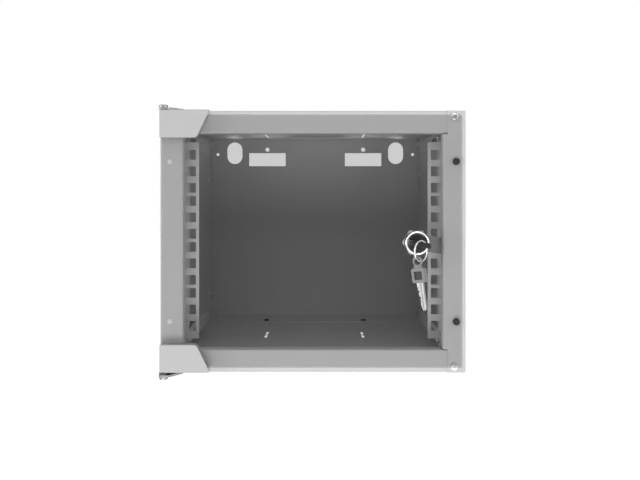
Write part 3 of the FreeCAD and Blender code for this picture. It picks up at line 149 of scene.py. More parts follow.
# Shared shader effects, each a node group
def make_powder_group():
    """Orange peel and fine grain of a stoved powder coat, slightly uneven in tone."""
    group, given, result = new_group(
        "powder coat grain",
        [("Place", "Vector", None), ("Colour", "Color", None), ("Roughness", "Float", 0.5),
         ("Peel Per Metre", "Float", 520.0), ("Grain Per Metre", "Float", 2400.0),
         ("Unevenness", "Float", 0.03)],
        [("Colour", "Color"), ("Roughness", "Float"), ("Height", "Float")],
    )
    peel = noise(group, given["Place"], given["Peel Per Metre"], 1.0)
    grain = noise(group, given["Place"], given["Grain Per Metre"], 3.0, 0.65)
    cloud = noise(group, given["Place"], 9.0, 2.0)
    uneven = around(group, blend(group, cloud, grain), 0.5, given["Unevenness"])
    factor = plus(group, 1.0, times(group, uneven, 2.0))
    give(group, result,
         Colour=scaled_colour(group, given["Colour"], factor),
         Roughness=plus(group, given["Roughness"], around(group, peel, 0.5, 0.16)),
         Height=blend(group, peel, grain))
    return group


def make_dust_group():
    """A thin film of dust where a surface faces up, and in soft patches."""
    group, given, result = new_group(
        "settled dust",
        [("Place", "Vector", None), ("Normal", "Vector", None), ("Colour", "Color", None),
         ("Roughness", "Float", 0.5), ("Amount", "Float", 0.1)],
        [("Colour", "Color"), ("Roughness", "Float")],
    )
    up = add_node(group, "ShaderNodeSeparateXYZ", {0: given["Normal"]}).outputs["Z"]
    patches = noise(group, given["Place"], 38.0, 4.0, 0.6)
    film = times(group, times(group, map_range(group, up, 0.35, 1.0), patches), given["Amount"])
    give(group, result,
         Colour=mix_colour(group, film, given["Colour"], (0.62, 0.60, 0.57, 1.0)),
         Roughness=plus(group, given["Roughness"], times(group, film, 0.5)))
    return group


def make_lines_group():
    """Drawn lines and stray scratches of bare or plated metal."""
    group, given, result = new_group(
        "metal lines",
        [("Place", "Vector", None), ("Colour", "Color", None), ("Roughness", "Float", 0.25),
         ("Stretch", "Vector", (400.0, 400.0, 6000.0)), ("Depth", "Float", 0.5)],
        [("Colour", "Color"), ("Roughness", "Float"), ("Height", "Float")],
    )
    along = add_node(group, "ShaderNodeVectorMath", {0: given["Place"], 1: given["Stretch"]},
                     operation="MULTIPLY").outputs[0]
    lines = noise(group, along, 1.0, 4.0, 0.7)
    smudge = noise(group, given["Place"], 260.0, 3.0, 0.6)
    uneven = around(group, lines, 0.5, given["Depth"])
    factor = plus(group, 1.0, times(group, uneven, 0.35))
    rough = plus(group, times(group, uneven, 0.25), around(group, smudge, 0.45, 0.22))
    clamped = add_node(group, "ShaderNodeClamp", {
        "Value": plus(group, given["Roughness"], rough), "Min": 0.03, "Max": 1.0}).outputs[0]
    give(group, result, Colour=scaled_colour(group, given["Colour"], factor),
         Roughness=clamped, Height=lines)
    return group


POWDER = make_powder_group()
DUST = make_dust_group()
LINES = make_lines_group()


# Materials
class Finish:
    """A material with its Principled shader and its object coordinates."""

    def __init__(self, name, colour, roughness, metallic=0.0, **constants):
        self.material = bpy.data.materials.new(name)
        self.material.use_nodes = True
        self.tree = self.material.node_tree
        self.shader = self.tree.nodes["Principled BSDF"]
        self.colour, self.roughness = (*colour, 1.0), roughness
        self.shader.inputs["Base Color"].default_value = self.colour
        self.shader.inputs["Roughness"].default_value = roughness
        self.shader.inputs["Metallic"].default_value = metallic
        for label, value in constants.items():
            self.shader.inputs[label.replace("_", " ")].default_value = value
        self.place = add_node(self.tree, "ShaderNodeTexCoord").outputs["Object"]

    def effect(self, group, **inputs):
        made = add_node(self.tree, "ShaderNodeGroup", node_tree=group)
        for label, value in {"Place": self.place, **inputs}.items():
            feed(self.tree, made.inputs[label.replace("_", " ")], value)
        return made.outputs

    def connect(self, label, socket):
        self.tree.links.new(socket, self.shader.inputs[label])

    def surface(self, colour, roughness, height, depth, strength):
        """Drives the colour, the roughness and a relief of a given depth."""
        self.connect("Base Color", colour)
        self.connect("Roughness", roughness)
        relief = add_node(self.tree, "ShaderNodeBump", {
            "Height": height, "Distance": depth, "Strength": strength})
        self.connect("Normal", relief.outputs["Normal"])

    def grain(self, per_metre, depth, unevenness):
        """The fine grain of a moulded or ground surface."""
        coat = self.effect(POWDER, Colour=self.colour, Roughness=self.roughness,
                           Peel_Per_Metre=per_metre / 3, Grain_Per_Metre=per_metre,
                           Unevenness=unevenness)
        self.surface(coat["Colour"], coat["Roughness"], coat["Height"], depth, 0.5)

    def pass_light(self, seen):
        """Light passes without a shadow, and the eye sees the given share of the surface."""
        path = add_node(self.tree, "ShaderNodeLightPath").outputs
        lit = math_node(self.tree, "MAXIMUM", path["Is Shadow Ray"], path["Is Diffuse Ray"])
        self.connect("Alpha", times(self.tree, seen, math_node(self.tree, "SUBTRACT", 1.0, lit)))


def powder_finish(name, colour, peel=1.0):
    """Fine textured powder coat on sheet steel, with a little dust on what faces up."""
    made = Finish(name, colour, 0.46, Specular_IOR_Level=0.45)
    coat = made.effect(POWDER, Colour=made.colour, Roughness=made.roughness)
    normal = add_node(made.tree, "ShaderNodeNewGeometry").outputs["Normal"]
    film = made.effect(DUST, Normal=normal, Colour=coat["Colour"], Roughness=coat["Roughness"],
                       Amount=0.10)
    made.surface(film["Colour"], film["Roughness"], coat["Height"], 0.00006 * peel, 0.4)
    return made.material


def metal_finish(name, colour, roughness, stretch=(900.0, 900.0, 900.0), depth=0.5, relief=0.000006,
                 rim=0.0):
    """Bare or plated metal; a bright one darkens by the rim share where it turns away, a painted
    dark reflection.
    """
    made = Finish(name, colour, roughness, 1.0)
    lines = made.effect(LINES, Colour=made.colour, Roughness=roughness, Stretch=stretch,
                        Depth=depth)
    seen = lines["Colour"]
    # Painted dark reflection: towards grazing angles the colour is mixed towards near black, by the
    # rim share.
    if rim:
        away = add_node(made.tree, "ShaderNodeLayerWeight", {"Blend": 0.5}).outputs["Facing"]
        away = map_range(made.tree, away, 0.25, 0.8, end=rim)
        seen = mix_colour(made.tree, away, seen, (0.015, 0.015, 0.016, 1.0))
    made.surface(seen, lines["Roughness"], lines["Height"], relief, 0.6)
    return made.material


def moulded_finish(name, colour, roughness, grain=3000.0, depth=0.00002, **constants):
    """Plastic or rubber with a fine moulded grain and slightly uneven gloss."""
    made = Finish(name, colour, roughness, **constants)
    made.grain(grain, depth, 0.05)
    return made.material


def ground_edge_finish(name, colour):
    """Edge of the pane: ground fine, pale and half clear."""
    made = Finish(name, colour, 0.4)
    made.grain(4200.0, 0.00001, 0.08)
    cloud = noise(made.tree, made.place, 60.0, 2.0)
    made.pass_light(plus(made.tree, 0.42, times(made.tree, cloud, 0.16)))
    return made.material


def glass_finish(name, tint):
    """Clear toughened glass: light passes, and the eye sees a faint smoke tint and the gloss."""
    made = Finish(name, (0.012, 0.014, 0.014), 0.02, IOR=1.5, Specular_IOR_Level=0.3)
    gloss = add_node(made.tree, "ShaderNodeFresnel", {"IOR": 1.3}).outputs[0]
    behind = add_node(made.tree, "ShaderNodeNewGeometry").outputs["Backfacing"]
    gloss = times(made.tree, gloss, math_node(made.tree, "SUBTRACT", 1.0, behind))
    made.pass_light(plus(made.tree, tint, times(made.tree, gloss, 1.0 - tint)))
    smear = noise(made.tree, made.place, 24.0, 4.0, 0.6)
    made.connect("Roughness", map_range(made.tree, smear, 0.5, 0.8, 0.02, 0.09))
    return made.material


FINISHES = {
    "powder_coat": powder_finish("powder coat light grey", (0.64, 0.64, 0.642)),
    # The rails are in the cabinet's coat, painted lighter: painted light where the stiles and
    # flanges shade them.
    "rail_coat": powder_finish("powder coat rails painted lighter", (0.84, 0.84, 0.842)),
    "clamp_coat": powder_finish("powder coat clamps", (0.55, 0.55, 0.552), 0.6),
    "zinc_steel": metal_finish("bright zinc", (0.70, 0.71, 0.73), 0.28),
    "black_screw": metal_finish("black oxide", (0.03, 0.03, 0.032), 0.42, depth=0.3),
    # The chrome bezel gets a painted dark reflection at its rim, by the last share.
    "chrome": metal_finish("polished chrome", (0.86, 0.87, 0.88), 0.06, (500.0, 500.0, 500.0), 0.12,
                           0.000001, 0.85),
    # The plug is chrome; its near black colour is a painted dark reflection.
    "dark_chrome": metal_finish("chrome plug face painted dark", (0.05, 0.05, 0.052), 0.3, (600.0, 600.0, 600.0), 0.3),
    # The nickel plated ring gets a painted dark reflection at its rim, by the last share.
    "key_steel": metal_finish("nickel plate", (0.74, 0.74, 0.75), 0.17, (3500.0, 3500.0, 350.0),
                              0.5, 0.000004, 0.7),
    # The spare blade is nickel silver; its dark colour is a painted dark reflection.
    "blade_steel": metal_finish("milled nickel silver painted dark", (0.25, 0.25, 0.255), 0.3,
                                (2600.0, 2600.0, 260.0), 1.8, 0.00001),
    "cam_zinc": metal_finish("dull zinc", (0.30, 0.30, 0.305), 0.5, depth=0.4),
    # Hinge brackets and pins: dark steel with a painted dark reflection at the rim; on the bright
    # metal pins the dark tone is a painted dark reflection too.
    "dark_steel": metal_finish("dark steel", (0.3, 0.3, 0.305), 0.22, depth=0.4, rim=0.95),
    # Grey on the spare key's black bow rim: a painted sheen.
    "worn_plastic": moulded_finish("bow rim painted sheen", (0.21, 0.21, 0.212), 0.4, Coat_Weight=0.1),
    "black_plastic": moulded_finish("black moulding", (0.016, 0.016, 0.017), 0.32,
                                    Specular_IOR_Level=0.3),
    "grey_plastic": moulded_finish("white moulding", (0.92, 0.92, 0.92), 0.3),
    "nylon": moulded_finish("natural nylon", (0.80, 0.79, 0.76), 0.5),
    "dark_nylon": moulded_finish("dark nylon", (0.05, 0.05, 0.05), 0.45),
    "rubber": moulded_finish("black rubber", (0.03, 0.03, 0.031), 0.7, 1800.0, 0.00004),
    "glass": glass_finish("smoke tinted glass", 0.222),
    "glass_edge": ground_edge_finish("ground glass edge", (0.66, 0.70, 0.69)),
}


def dress(obj, *finishes):
    obj.data.materials.clear()
    for finish in finishes:
        obj.data.materials.append(FINISHES[finish])


for node, obj in NODES.items():
    dress(obj, "dark_nylon" if node == "lower_hinge_washer" else SLOT_OF[node])


# Making and handing over pieces
def mesh_object(name, shape):
    """A new object from a bmesh, which is freed."""
    mesh = bpy.data.meshes.new(name)
    shape.to_mesh(mesh)
    shape.free()
    return link_object(name, mesh)


def link_object(name, data):
    obj = bpy.data.objects.new(name, data)
    bpy.context.scene.collection.objects.link(obj)
    return obj


def shade(obj, angle):
    """Smooth shading with sharp edges from an angle in degrees on."""
    obj.data.shade_smooth()
    obj.data.set_sharp_from_angle(angle=math.radians(angle))


def hand_over(obj, node, finish=None, stands_for_it=True):
    """Gives a piece its material, by default the one of its record slot, and its body, and lets it
    stand for its CAD node.
    """
    dress(obj, finish or SLOT_OF[node])
    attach(obj, BODY_OF[node])
    if stands_for_it:
        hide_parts(node)


def apply_modifiers(obj):
    graph = bpy.context.evaluated_depsgraph_get()
    mesh = bpy.data.meshes.new_from_object(obj.evaluated_get(graph))
    obj.modifiers.clear()
    obj.data = mesh


FLAT_ANGLE = 0.4


def merged_copy(node):
    """The CAD node's skin as one closed mesh with flat faces joined."""
    shape = bmesh.new()
    shape.from_mesh(NODES[node].data)
    bmesh.ops.remove_doubles(shape, verts=shape.verts, dist=0.002 * MM)
    bmesh.ops.dissolve_limit(shape, angle_limit=math.radians(FLAT_ANGLE), verts=shape.verts,
                             edges=shape.edges)
    return shape


BENT_PANELS = ("top_panel", "bottom_panel", "left_side_panel", "right_side_panel")
BEND_RADIUS = 2.3 * MM
BEND_STEPS = 6
LONG_BEND = 60 * MM
OUTER_SIDE = 100 * MM
NEAR = 0.05 * MM
EDGE_ANGLE = 35.0


def mark_front_bends(node, shape):
    """Marks the long outer edges along which a panel is bent to its front flange or stile."""
    low, high = (Vector(corner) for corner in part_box(node))
    weight = shape.edges.layers.float.new("bevel_weight_edge")
    across = 0 if "side" in node else 2
    for edge in shape.edges:
        ends = [vert.co for vert in edge.verts]

        def lies_at(axis, level, ends=ends):
            return all(abs(end[axis] - level) < NEAR for end in ends)

        outside = any(level * way > OUTER_SIDE and lies_at(across, level)
                      for level, way in ((low[across], -1), (high[across], 1)))
        edge[weight] = float(lies_at(1, low.y) and outside and edge.calc_length() > LONG_BEND)


def soften(node, width, finish=None, segments=2):
    """Gives a CAD piece the small rounding of its real edges; flat faces stay flat in the light."""
    shape = merged_copy(node)
    if node in BENT_PANELS:
        mark_front_bends(node, shape)
    obj = mesh_object(node + "_finished", shape)
    obj.data.shade_smooth()
    if node in BENT_PANELS:
        bend = obj.modifiers.new("bend", "BEVEL")
        bend.width = BEND_RADIUS
        bend.segments = BEND_STEPS
        bend.limit_method = "WEIGHT"
    bevel = obj.modifiers.new("edges", "BEVEL")
    bevel.width = width * MM
    bevel.segments = segments
    bevel.limit_method = "ANGLE"
    bevel.angle_limit = math.radians(EDGE_ANGLE)
    bevel.use_clamp_overlap = True
    even = obj.modifiers.new("even", "WEIGHTED_NORMAL")
    even.mode = "FACE_AREA"
    even.weight = 100
    apply_modifiers(obj)
    hand_over(obj, node, finish)
    return obj


# Turned and threaded pieces, in millimetres
def turned(shape, rows, segments=48, closed=False):
    """Lofts rings about Z; a row is a radius, or a rule giving it for an angle, and a height."""
    rings = []
    for radius, height in rows:
        if radius == 0:
            rings.append([shape.verts.new((0, 0, height * MM))])
            continue
        ring = []
        for step in range(segments):
            angle = math.tau * step / segments
            reach = (radius(angle) if callable(radius) else radius) * MM
            place = (reach * math.cos(angle), reach * math.sin(angle), height * MM)
            ring.append(shape.verts.new(place))
        rings.append(ring)
    followers = rings[1:] + rings[:1] if closed else rings[1:]
    for lower, upper in zip(rings, followers):
        for step in range(segments):
            after = (step + 1) % segments
            corners = [lower[step % len(lower)], lower[after % len(lower)],
                       upper[after % len(upper)], upper[step % len(upper)]]
            shape.faces.new(list(dict.fromkeys(corners)))
    bmesh.ops.recalc_face_normals(shape, faces=shape.faces)
    return shape


def arc(radius, height, reach, rise, steps, first=0):
    """Rows of a rounded edge: a quarter turn about a centre, from beside it to above it."""
    rows = []
    for step in range(first, steps + 1):
        turn = math.pi / 2 * step / steps
        rows.append((radius + reach * math.cos(turn), height + rise * math.sin(turn)))
    return rows


def thread_rows(radius, low, high, pitch, depth, per_turn=6):
    """Rows of a cut thread that fades out at both ends."""
    steps = max(2, round((high - low) / pitch * per_turn))
    rows = []
    for step in range(steps + 1):
        height = low + (high - low) * step / steps
        fade = min(1.0, (height - low) / pitch, (high - height) / pitch)

        def reach(angle, height=height, fade=fade):
            groove = abs(2 * ((height / pitch - angle / math.tau) % 1.0) - 1)
            return radius - depth * fade * groove

        rows.append((reach, height))
    return rows


def hexagon(flats, limit):
    """Radius of a hexagon whose corners are turned down to a limit."""
    def reach(angle):
        return min(limit, flats / 2 / math.cos(angle % (math.pi / 3) - math.pi / 6))
    return reach


def screw_shape(diameter, length, head, rise, pitch):
    """A pan head screw, its clamped face at height 0 and a cut thread below."""
    radius = diameter / 2
    rows = [(0, -length), (radius - 0.4, -length)]
    rows += thread_rows(radius, 0.4 - length, -0.15, pitch, pitch * 0.5)
    rows += [(radius, -0.05), (head / 2 - 0.15, 0), (head / 2, 0.12), (head / 2, 0.45 * rise)]
    rows += arc(0.21 * head, 0.45 * rise, 0.29 * head, 0.55 * rise, 8, 1)
    return turned(bmesh.new(), rows + [(0, rise)], 36)


def cross_cutter(name, width, reach, top, depth):
    """Two crossing tapered blades, the tool of a cross recess."""
    width, reach, top, depth = (value * MM for value in (width, reach, top, depth))
    shape = bmesh.new()
    outline = []
    for quarter in range(4):
        turn = Matrix.Rotation(math.pi / 2 * quarter, 3, "Z")
        outline += [turn @ Vector((reach, -width / 2, 0)), turn @ Vector((reach, width / 2, 0)),
                    turn @ Vector((width * 0.625, width * 0.625, 0))]
    lower, upper = ([shape.verts.new((p.x * share, p.y * share, height)) for p in outline]
                    for share, height in ((0.5, top - depth), (1.0, top + 0.3 * MM)))
    shape.faces.new(lower[::-1])
    shape.faces.new(upper)
    for index in range(len(outline)):
        after = (index + 1) % len(outline)
        shape.faces.new([lower[index], lower[after], upper[after], upper[index]])
    return mesh_object(name, shape)


def carve(obj, cutter):
    """Takes the cutter's volume out of a piece."""
    cut = obj.modifiers.new("recess", "BOOLEAN")
    cut.operation = "DIFFERENCE"
    cut.solver = "EXACT"
    cut.object = cutter
    apply_modifiers(obj)
    bpy.data.objects.remove(cutter)


def nut_shape(flats, height, bore):
    """A hexagon nut, turned down at both faces, with countersunk bore."""
    corner, turned_down = flats / math.sqrt(3), flats / 2 * 0.985
    drop = (corner - flats / 2) * math.tan(math.radians(30))
    rows = [(hexagon(flats, turned_down + (corner - turned_down) * step / 3), drop * step / 3)
            for step in range(4)]
    rows += [(reach, height - low) for reach, low in reversed(rows)]
    rows += [(bore / 2 + 0.35, height), (bore / 2, height - 0.35),
             (bore / 2, 0.35), (bore / 2 + 0.35, 0)]
    return turned(bmesh.new(), rows, 48, closed=True)


def make_set_group():
    """One fastener on every point, turned to the point's facing and spun by chance."""
    group, given, result = new_group(
        "fasteners on their seats",
        [("Seats", "Geometry", None), ("Fastener", "Object", None), ("Most Spin", "Float", None),
         ("Seed", "Int", None), ("Finish", "Material", None)],
        [("Set", "Geometry")], "GeometryNodeTree",
    )
    facing = add_node(group, "GeometryNodeInputNamedAttribute", {"Name": "facing"},
                      data_type="FLOAT_VECTOR")
    turn = add_node(group, "FunctionNodeAlignRotationToVector", {
        "Vector": facing.outputs["Attribute"]}, axis="Z")
    chance = add_node(group, "FunctionNodeRandomValue", {
        2: 0.0, 3: given["Most Spin"], "Seed": given["Seed"]}, data_type="FLOAT")
    spin = add_node(group, "FunctionNodeAxisAngleToRotation", {
        "Axis": (0, 0, 1), "Angle": chance.outputs[1]})
    both = add_node(group, "FunctionNodeRotateRotation", {
        "Rotation": turn.outputs[0], "Rotate By": spin.outputs[0]}, rotation_space="LOCAL")
    source = add_node(group, "GeometryNodeObjectInfo", {
        "Object": given["Fastener"], "As Instance": True})
    placed = add_node(group, "GeometryNodeInstanceOnPoints", {
        "Points": given["Seats"], "Instance": source.outputs["Geometry"],
        "Rotation": both.outputs[0]})
    give(group, result, Set=real_and_dressed(group, placed.outputs["Instances"], given["Finish"]))
    return group


def real_and_dressed(group, geometry, finish):
    """Plain mesh from instances, with its material."""
    real = add_node(group, "GeometryNodeRealizeInstances", {"Geometry": geometry})
    dressed = add_node(group, "GeometryNodeSetMaterial", {
        "Geometry": real.outputs["Geometry"], "Material": finish})
    return dressed.outputs["Geometry"]


def add_node_tree(obj, group, **values):
    """A Geometry Nodes modifier, its named inputs set by the identifiers of their sockets."""
    modifier = obj.modifiers.new(group.name, "NODES")
    modifier.node_group = group
    sockets = {item.name.replace(" ", "_"): item.identifier
               for item in group.interface.items_tree if item.in_out == "INPUT"}
    for label, value in values.items():
        modifier[sockets[label]] = value


SET_GROUP = make_set_group()
FULL_TURN = 6.283
SAME_SIZE = 0.01 * MM
FASTENER_ANGLE = 32.0


def islands(node):
    """Lowest corner, highest corner and vertices of each loose solid, sorted by place."""
    shape = merged_copy(node)
    left, found = set(shape.verts), []
    while left:
        todo, points = [left.pop()], []
        while todo:
            vert = todo.pop()
            points.append(vert.co.copy())
            for edge in vert.link_edges:
                other = edge.other_vert(vert)
                if other in left:
                    left.remove(other)
                    todo.append(other)
        low = Vector([min(p[axis] for p in points) for axis in range(3)])
        high = Vector([max(p[axis] for p in points) for axis in range(3)])
        found.append((low, high, points))
    shape.free()
    found.sort(key=lambda solid: [round(value, 4) for value in solid[0]])
    return found


def screw_seats(node, head, rise):
    """Where each screw sits, from its solid: the clamped face's centre and its facing."""
    seats = []
    for low, high, points in islands(node):
        off = [abs(size - head * MM) for size in high - low]
        axis = max(range(3), key=lambda a: off[a] if off[a] > SAME_SIZE else 0)
        middle = (low + high) / 2
        others = [a for a in range(3) if a != axis]
        wide = [p[axis] for p in points
                if math.hypot(*(p[a] - middle[a] for a in others)) > head * MM * 0.48]
        way = 1 if sum(wide) / len(wide) > middle[axis] else -1
        seat = middle.copy()
        seat[axis] = (high if way > 0 else low)[axis] - way * rise * MM
        seats.append((seat, [way if a == axis else 0 for a in range(3)]))
    return seats


def fasteners(node, shape, seats, spin=FULL_TURN, seed=7, finish=None):
    """Replaces a CAD node by one plain mesh: the given piece on every seat."""
    mesh = bpy.data.meshes.new(node + "_seats")
    mesh.from_pydata([seat for seat, facing in seats], [], [])
    directions = mesh.attributes.new("facing", "FLOAT_VECTOR", "POINT")
    directions.data.foreach_set(
        "vector", [float(value) for seat, facing in seats for value in facing])
    obj = link_object(node + "_detailed", mesh)
    add_node_tree(obj, SET_GROUP, Fastener=shape, Most_Spin=spin, Seed=seed,
                  Finish=FINISHES[finish or SLOT_OF[node]])
    apply_modifiers(obj)
    shade(obj, FASTENER_ANGLE)
    hand_over(obj, node, finish)
    bpy.data.objects.remove(shape)


def cross_screws(node, length, seed, diameter, head, rise, pitch):
    """Screws with a cross recess, each turned as chance left it."""
    screw = mesh_object(node + "_one", screw_shape(diameter, length, head, rise, pitch))
    carve(screw, cross_cutter(node + "_cutter", head * 0.15, head * 0.29, rise, rise * 0.75))
    shade(screw, FASTENER_ANGLE)
    fasteners(node, screw, screw_seats(node, head, rise), seed=seed)


def nuts(node, flats, height, bore):
    """Hexagon nuts along each solid's shortest side."""
    seats = []
    for low, high, points in islands(node):
        size = high - low
        axis = min(range(3), key=lambda a: size[a])
        seat = (low + high) / 2
        seat[axis] = low[axis]
        seats.append((seat, [float(a == axis) for a in range(3)]))
    fasteners(node, mesh_object(node + "_one", nut_shape(flats, height, bore)), seats, spin=0.0)


def round_pieces(node, rows, facing, finish=None, segments=40):
    """One turned shape on each solid of a CAD node, their tops level."""
    top = max(height for radius, height in rows) * MM
    axis = max(range(3), key=lambda a: abs(facing[a]))
    seats = []
    for low, high, points in islands(node):
        seat = (low + high) / 2
        seat[axis] = (high if facing[axis] > 0 else low)[axis] - facing[axis] * top
        seats.append((seat, facing))
    piece = mesh_object(node + "_one", turned(bmesh.new(), rows, segments))
    fasteners(node, piece, seats, spin=0.0, finish=finish)


# Sheet steel, clamps, cam and bow: the CAD skins with rounded edges, their width in millimetres
for node, width, finish in (
    ("top_panel", 0.22, None),
    ("bottom_panel", 0.22, None),
    ("left_side_panel", 0.22, None),
    ("right_side_panel", 0.22, None),
    ("back_panel", 0.22, None),
    # The rack rails get the lighter copy of the coat, a painted light.
    ("left_rack_rail", 0.2, "rail_coat"),
    ("right_rack_rail", 0.2, "rail_coat"),
    ("left_upper_rail_bracket", 0.2, None),
    ("left_lower_rail_bracket", 0.2, None),
    ("right_upper_rail_bracket", 0.2, None),
    ("right_lower_rail_bracket", 0.2, None),
    # The hinge brackets: dark steel with a painted dark reflection at the rim.
    ("upper_hinge_bracket", 0.25, "dark_steel"),
    ("lower_hinge_bracket", 0.25, "dark_steel"),
    ("upper_clamp", 0.25, "clamp_coat"),
    ("lower_clamp", 0.25, "clamp_coat"),
    ("lock_cam", 0.3, "cam_zinc"),
    ("inserted_key_bow", 0.3, None),
):
    soften(node, width, finish)

# Fasteners: a screw's length below its head, and its seed
M4 = {"diameter": 4, "head": 7, "rise": 1.8, "pitch": 0.7}
M5 = {"diameter": 5, "head": 8.5, "rise": 2.6, "pitch": 0.8}
for node, length, seed, size in (
    ("front_corner_screws", 6.6, 1, M4),
    ("hinge_bracket_screws", 7.4, 2, M4),
    ("rail_bracket_screws", 3.5, 3, M4),
    ("panel_side_screws", 2.7, 4, M4),
    ("back_lug_screws", 2.1, 5, M4),
    ("back_foot_screws", 2.2, 6, M4),
    ("rail_bolts", 8.1, 7, M5),
    ("cam_screw", 6.6, 8, M4),
):
    cross_screws(node, length, seed, **size)
nuts("front_corner_nuts", 7, 3.2, 4.1)
nuts("hinge_bracket_nuts", 7, 3.2, 4.1)
nuts("rail_nuts", 8, 4, 5.1)


# Lock, keys and ring: the lock's pieces lie along the lock's axis, the height counts from the wall
LOCK = Vector(JOINTS["lock_turn"]["pos_m"])
SPARE_EYE = Vector(JOINTS["spare_key_swing"]["pos_m"])
SPARE_AXIS = Vector(JOINTS["spare_key_swing"]["axis"])
ON_LOCK_AXIS = Matrix.Translation((LOCK.x, 0, LOCK.z))
FORWARD = Matrix.Rotation(math.radians(90), 4, "X")
PLUG_TURN = math.radians(9)
SPARE_TILT = math.radians(-9)
RING_YAW = math.radians(44)
AT_LOCK = ON_LOCK_AXIS @ FORWARD
AT_PLUG = ON_LOCK_AXIS @ Matrix.Rotation(PLUG_TURN, 4, "Y") @ FORWARD
AT_SPARE = (Matrix.Translation(SPARE_EYE)
            @ Matrix.Rotation(-math.atan2(SPARE_AXIS.x, SPARE_AXIS.y), 4, "Z")
            @ Matrix.Rotation(SPARE_TILT, 4, "Y"))
GLASS_BACK, GLASS_FRONT = 305, 309
GASKET = 0.6


def put_piece(node, shape, place, finish=None, angle=EDGE_ANGLE):
    """Hands over a bmesh in place of a CAD node."""
    bmesh.ops.transform(shape, matrix=place, verts=shape.verts)
    obj = mesh_object(node + "_detailed", shape)
    shade(obj, angle)
    hand_over(obj, node, finish)


def box_object(name, low, high, place):
    """A plain box between two corners in millimetres."""
    low, high = (Vector([value * MM for value in corner]) for corner in (low, high))
    shape = bmesh.new()
    bmesh.ops.create_cube(shape, size=1.0)
    fit = Matrix.Translation((low + high) / 2) @ Matrix.Diagonal((*(high - low), 1))
    bmesh.ops.transform(shape, matrix=place @ fit, verts=shape.verts)
    return mesh_object(name, shape)


def make_lock_housing():
    """Rounded bezel with a bright lip and a barrel with a fine thread."""
    bore, barrel, rear = 6.5, 9, 295.5
    mouth, crown, rim = 8.6, 9.35, 11
    seat = GLASS_FRONT + GASKET
    front = seat + 3.6
    rows = [(bore, rear), (barrel - 0.4, rear)]
    rows += thread_rows(barrel, rear + 0.4, seat - 0.5, 1, 0.5, 5)
    rows += [(barrel, seat), (rim - 0.3, seat), (rim, seat + 0.3)]
    rows += arc(crown, front - 1.5, rim - crown, 1.5, 8)
    rows += arc(crown, front - 0.75, mouth - crown, 0.75, 4)[-2::-1]
    rows += [(mouth, front - 2.2), (bore, front - 2.2)]
    put_piece("lock_housing", turned(bmesh.new(), rows, 96, closed=True), AT_LOCK)


def make_lock_nut():
    thick = 4
    shape = nut_shape(22, thick, 18.1)
    bmesh.ops.translate(shape, vec=(0, 0, (GLASS_BACK - GASKET - thick) * MM), verts=shape.verts)
    put_piece("lock_nut", shape, AT_LOCK)


def make_lock_plug():
    """Plug with a dished face, a ring groove and its keyway, and the square tang for the cam."""
    rear, seat, front = 289, 311.05, 312.2
    shank, disc, screw_hole = 6.4, 8.5, 2.05
    rows = [(screw_hole, rear), (shank - 0.2, rear), (shank, rear + 0.2), (shank, seat),
            (disc, seat), (disc, front - 0.35), (disc - 0.15, front - 0.12), (disc - 0.4, front),
            (7.3, front), (7.15, front - 0.25), (6.85, front - 0.25), (6.7, front),
            (5.6, front - 0.05), (0, front - 0.3)]
    shape = turned(bmesh.new(), rows, 72)
    turned(shape, [(screw_hole, rear), (screw_hole, rear + 3.5), (0, rear + 3.5)], 72)
    bmesh.ops.remove_doubles(shape, verts=shape.verts, dist=0.001 * MM)
    bmesh.ops.recalc_face_normals(shape, faces=shape.faces)
    bmesh.ops.transform(shape, matrix=AT_PLUG, verts=shape.verts)
    plug = mesh_object("lock_plug_detailed", shape)
    carve(plug, box_object("keyway", (-4.1, -1.15, 295), (4.1, 1.15, 320), AT_PLUG))
    shade(plug, EDGE_ANGLE)
    tang = box_object("lock_plug_tang", (-3, -3, 286.4), (3, 3, 289.5), AT_PLUG)
    # Plug and tang: chrome painted near black, a painted dark reflection.
    hand_over(plug, "lock_plug", "dark_chrome")
    hand_over(tang, "lock_plug", "dark_chrome", stands_for_it=False)


def blade_section(left, right, half, grooves):
    """Outline of a blade's cross-section with a milled groove in each face."""
    depth = 0.5
    slope = 0.3
    points = []
    for side, (low, high) in zip((-1, 1), grooves):
        face, floor = side * half, side * (half - depth)
        cut = [(left, face), (low, face), (low + slope, floor),
               (high - slope, floor), (high, face), (right, face)]
        points += cut if side < 0 else cut[::-1]
    return points


def blade_shape(rows, half, grooves):
    """Lofts a blade along Z; a row gives its left edge, right edge and height in millimetres."""
    shape = bmesh.new()
    rings = []
    for left, right, height in rows:
        inside = [(min(max(low, left + 0.05), right), min(max(high, left + 0.1), right))
                  for low, high in grooves]
        rings.append([shape.verts.new((x * MM, y * MM, height * MM))
                      for x, y in blade_section(left, right, half, inside)])
    count = len(rings[0])
    for lower, upper in zip(rings, rings[1:]):
        for index in range(count):
            after = (index + 1) % count
            shape.faces.new([lower[index], lower[after], upper[after], upper[index]])
    shape.faces.new(rings[0][::-1])
    shape.faces.new(rings[-1])
    bmesh.ops.recalc_face_normals(shape, faces=shape.faces)
    return shape


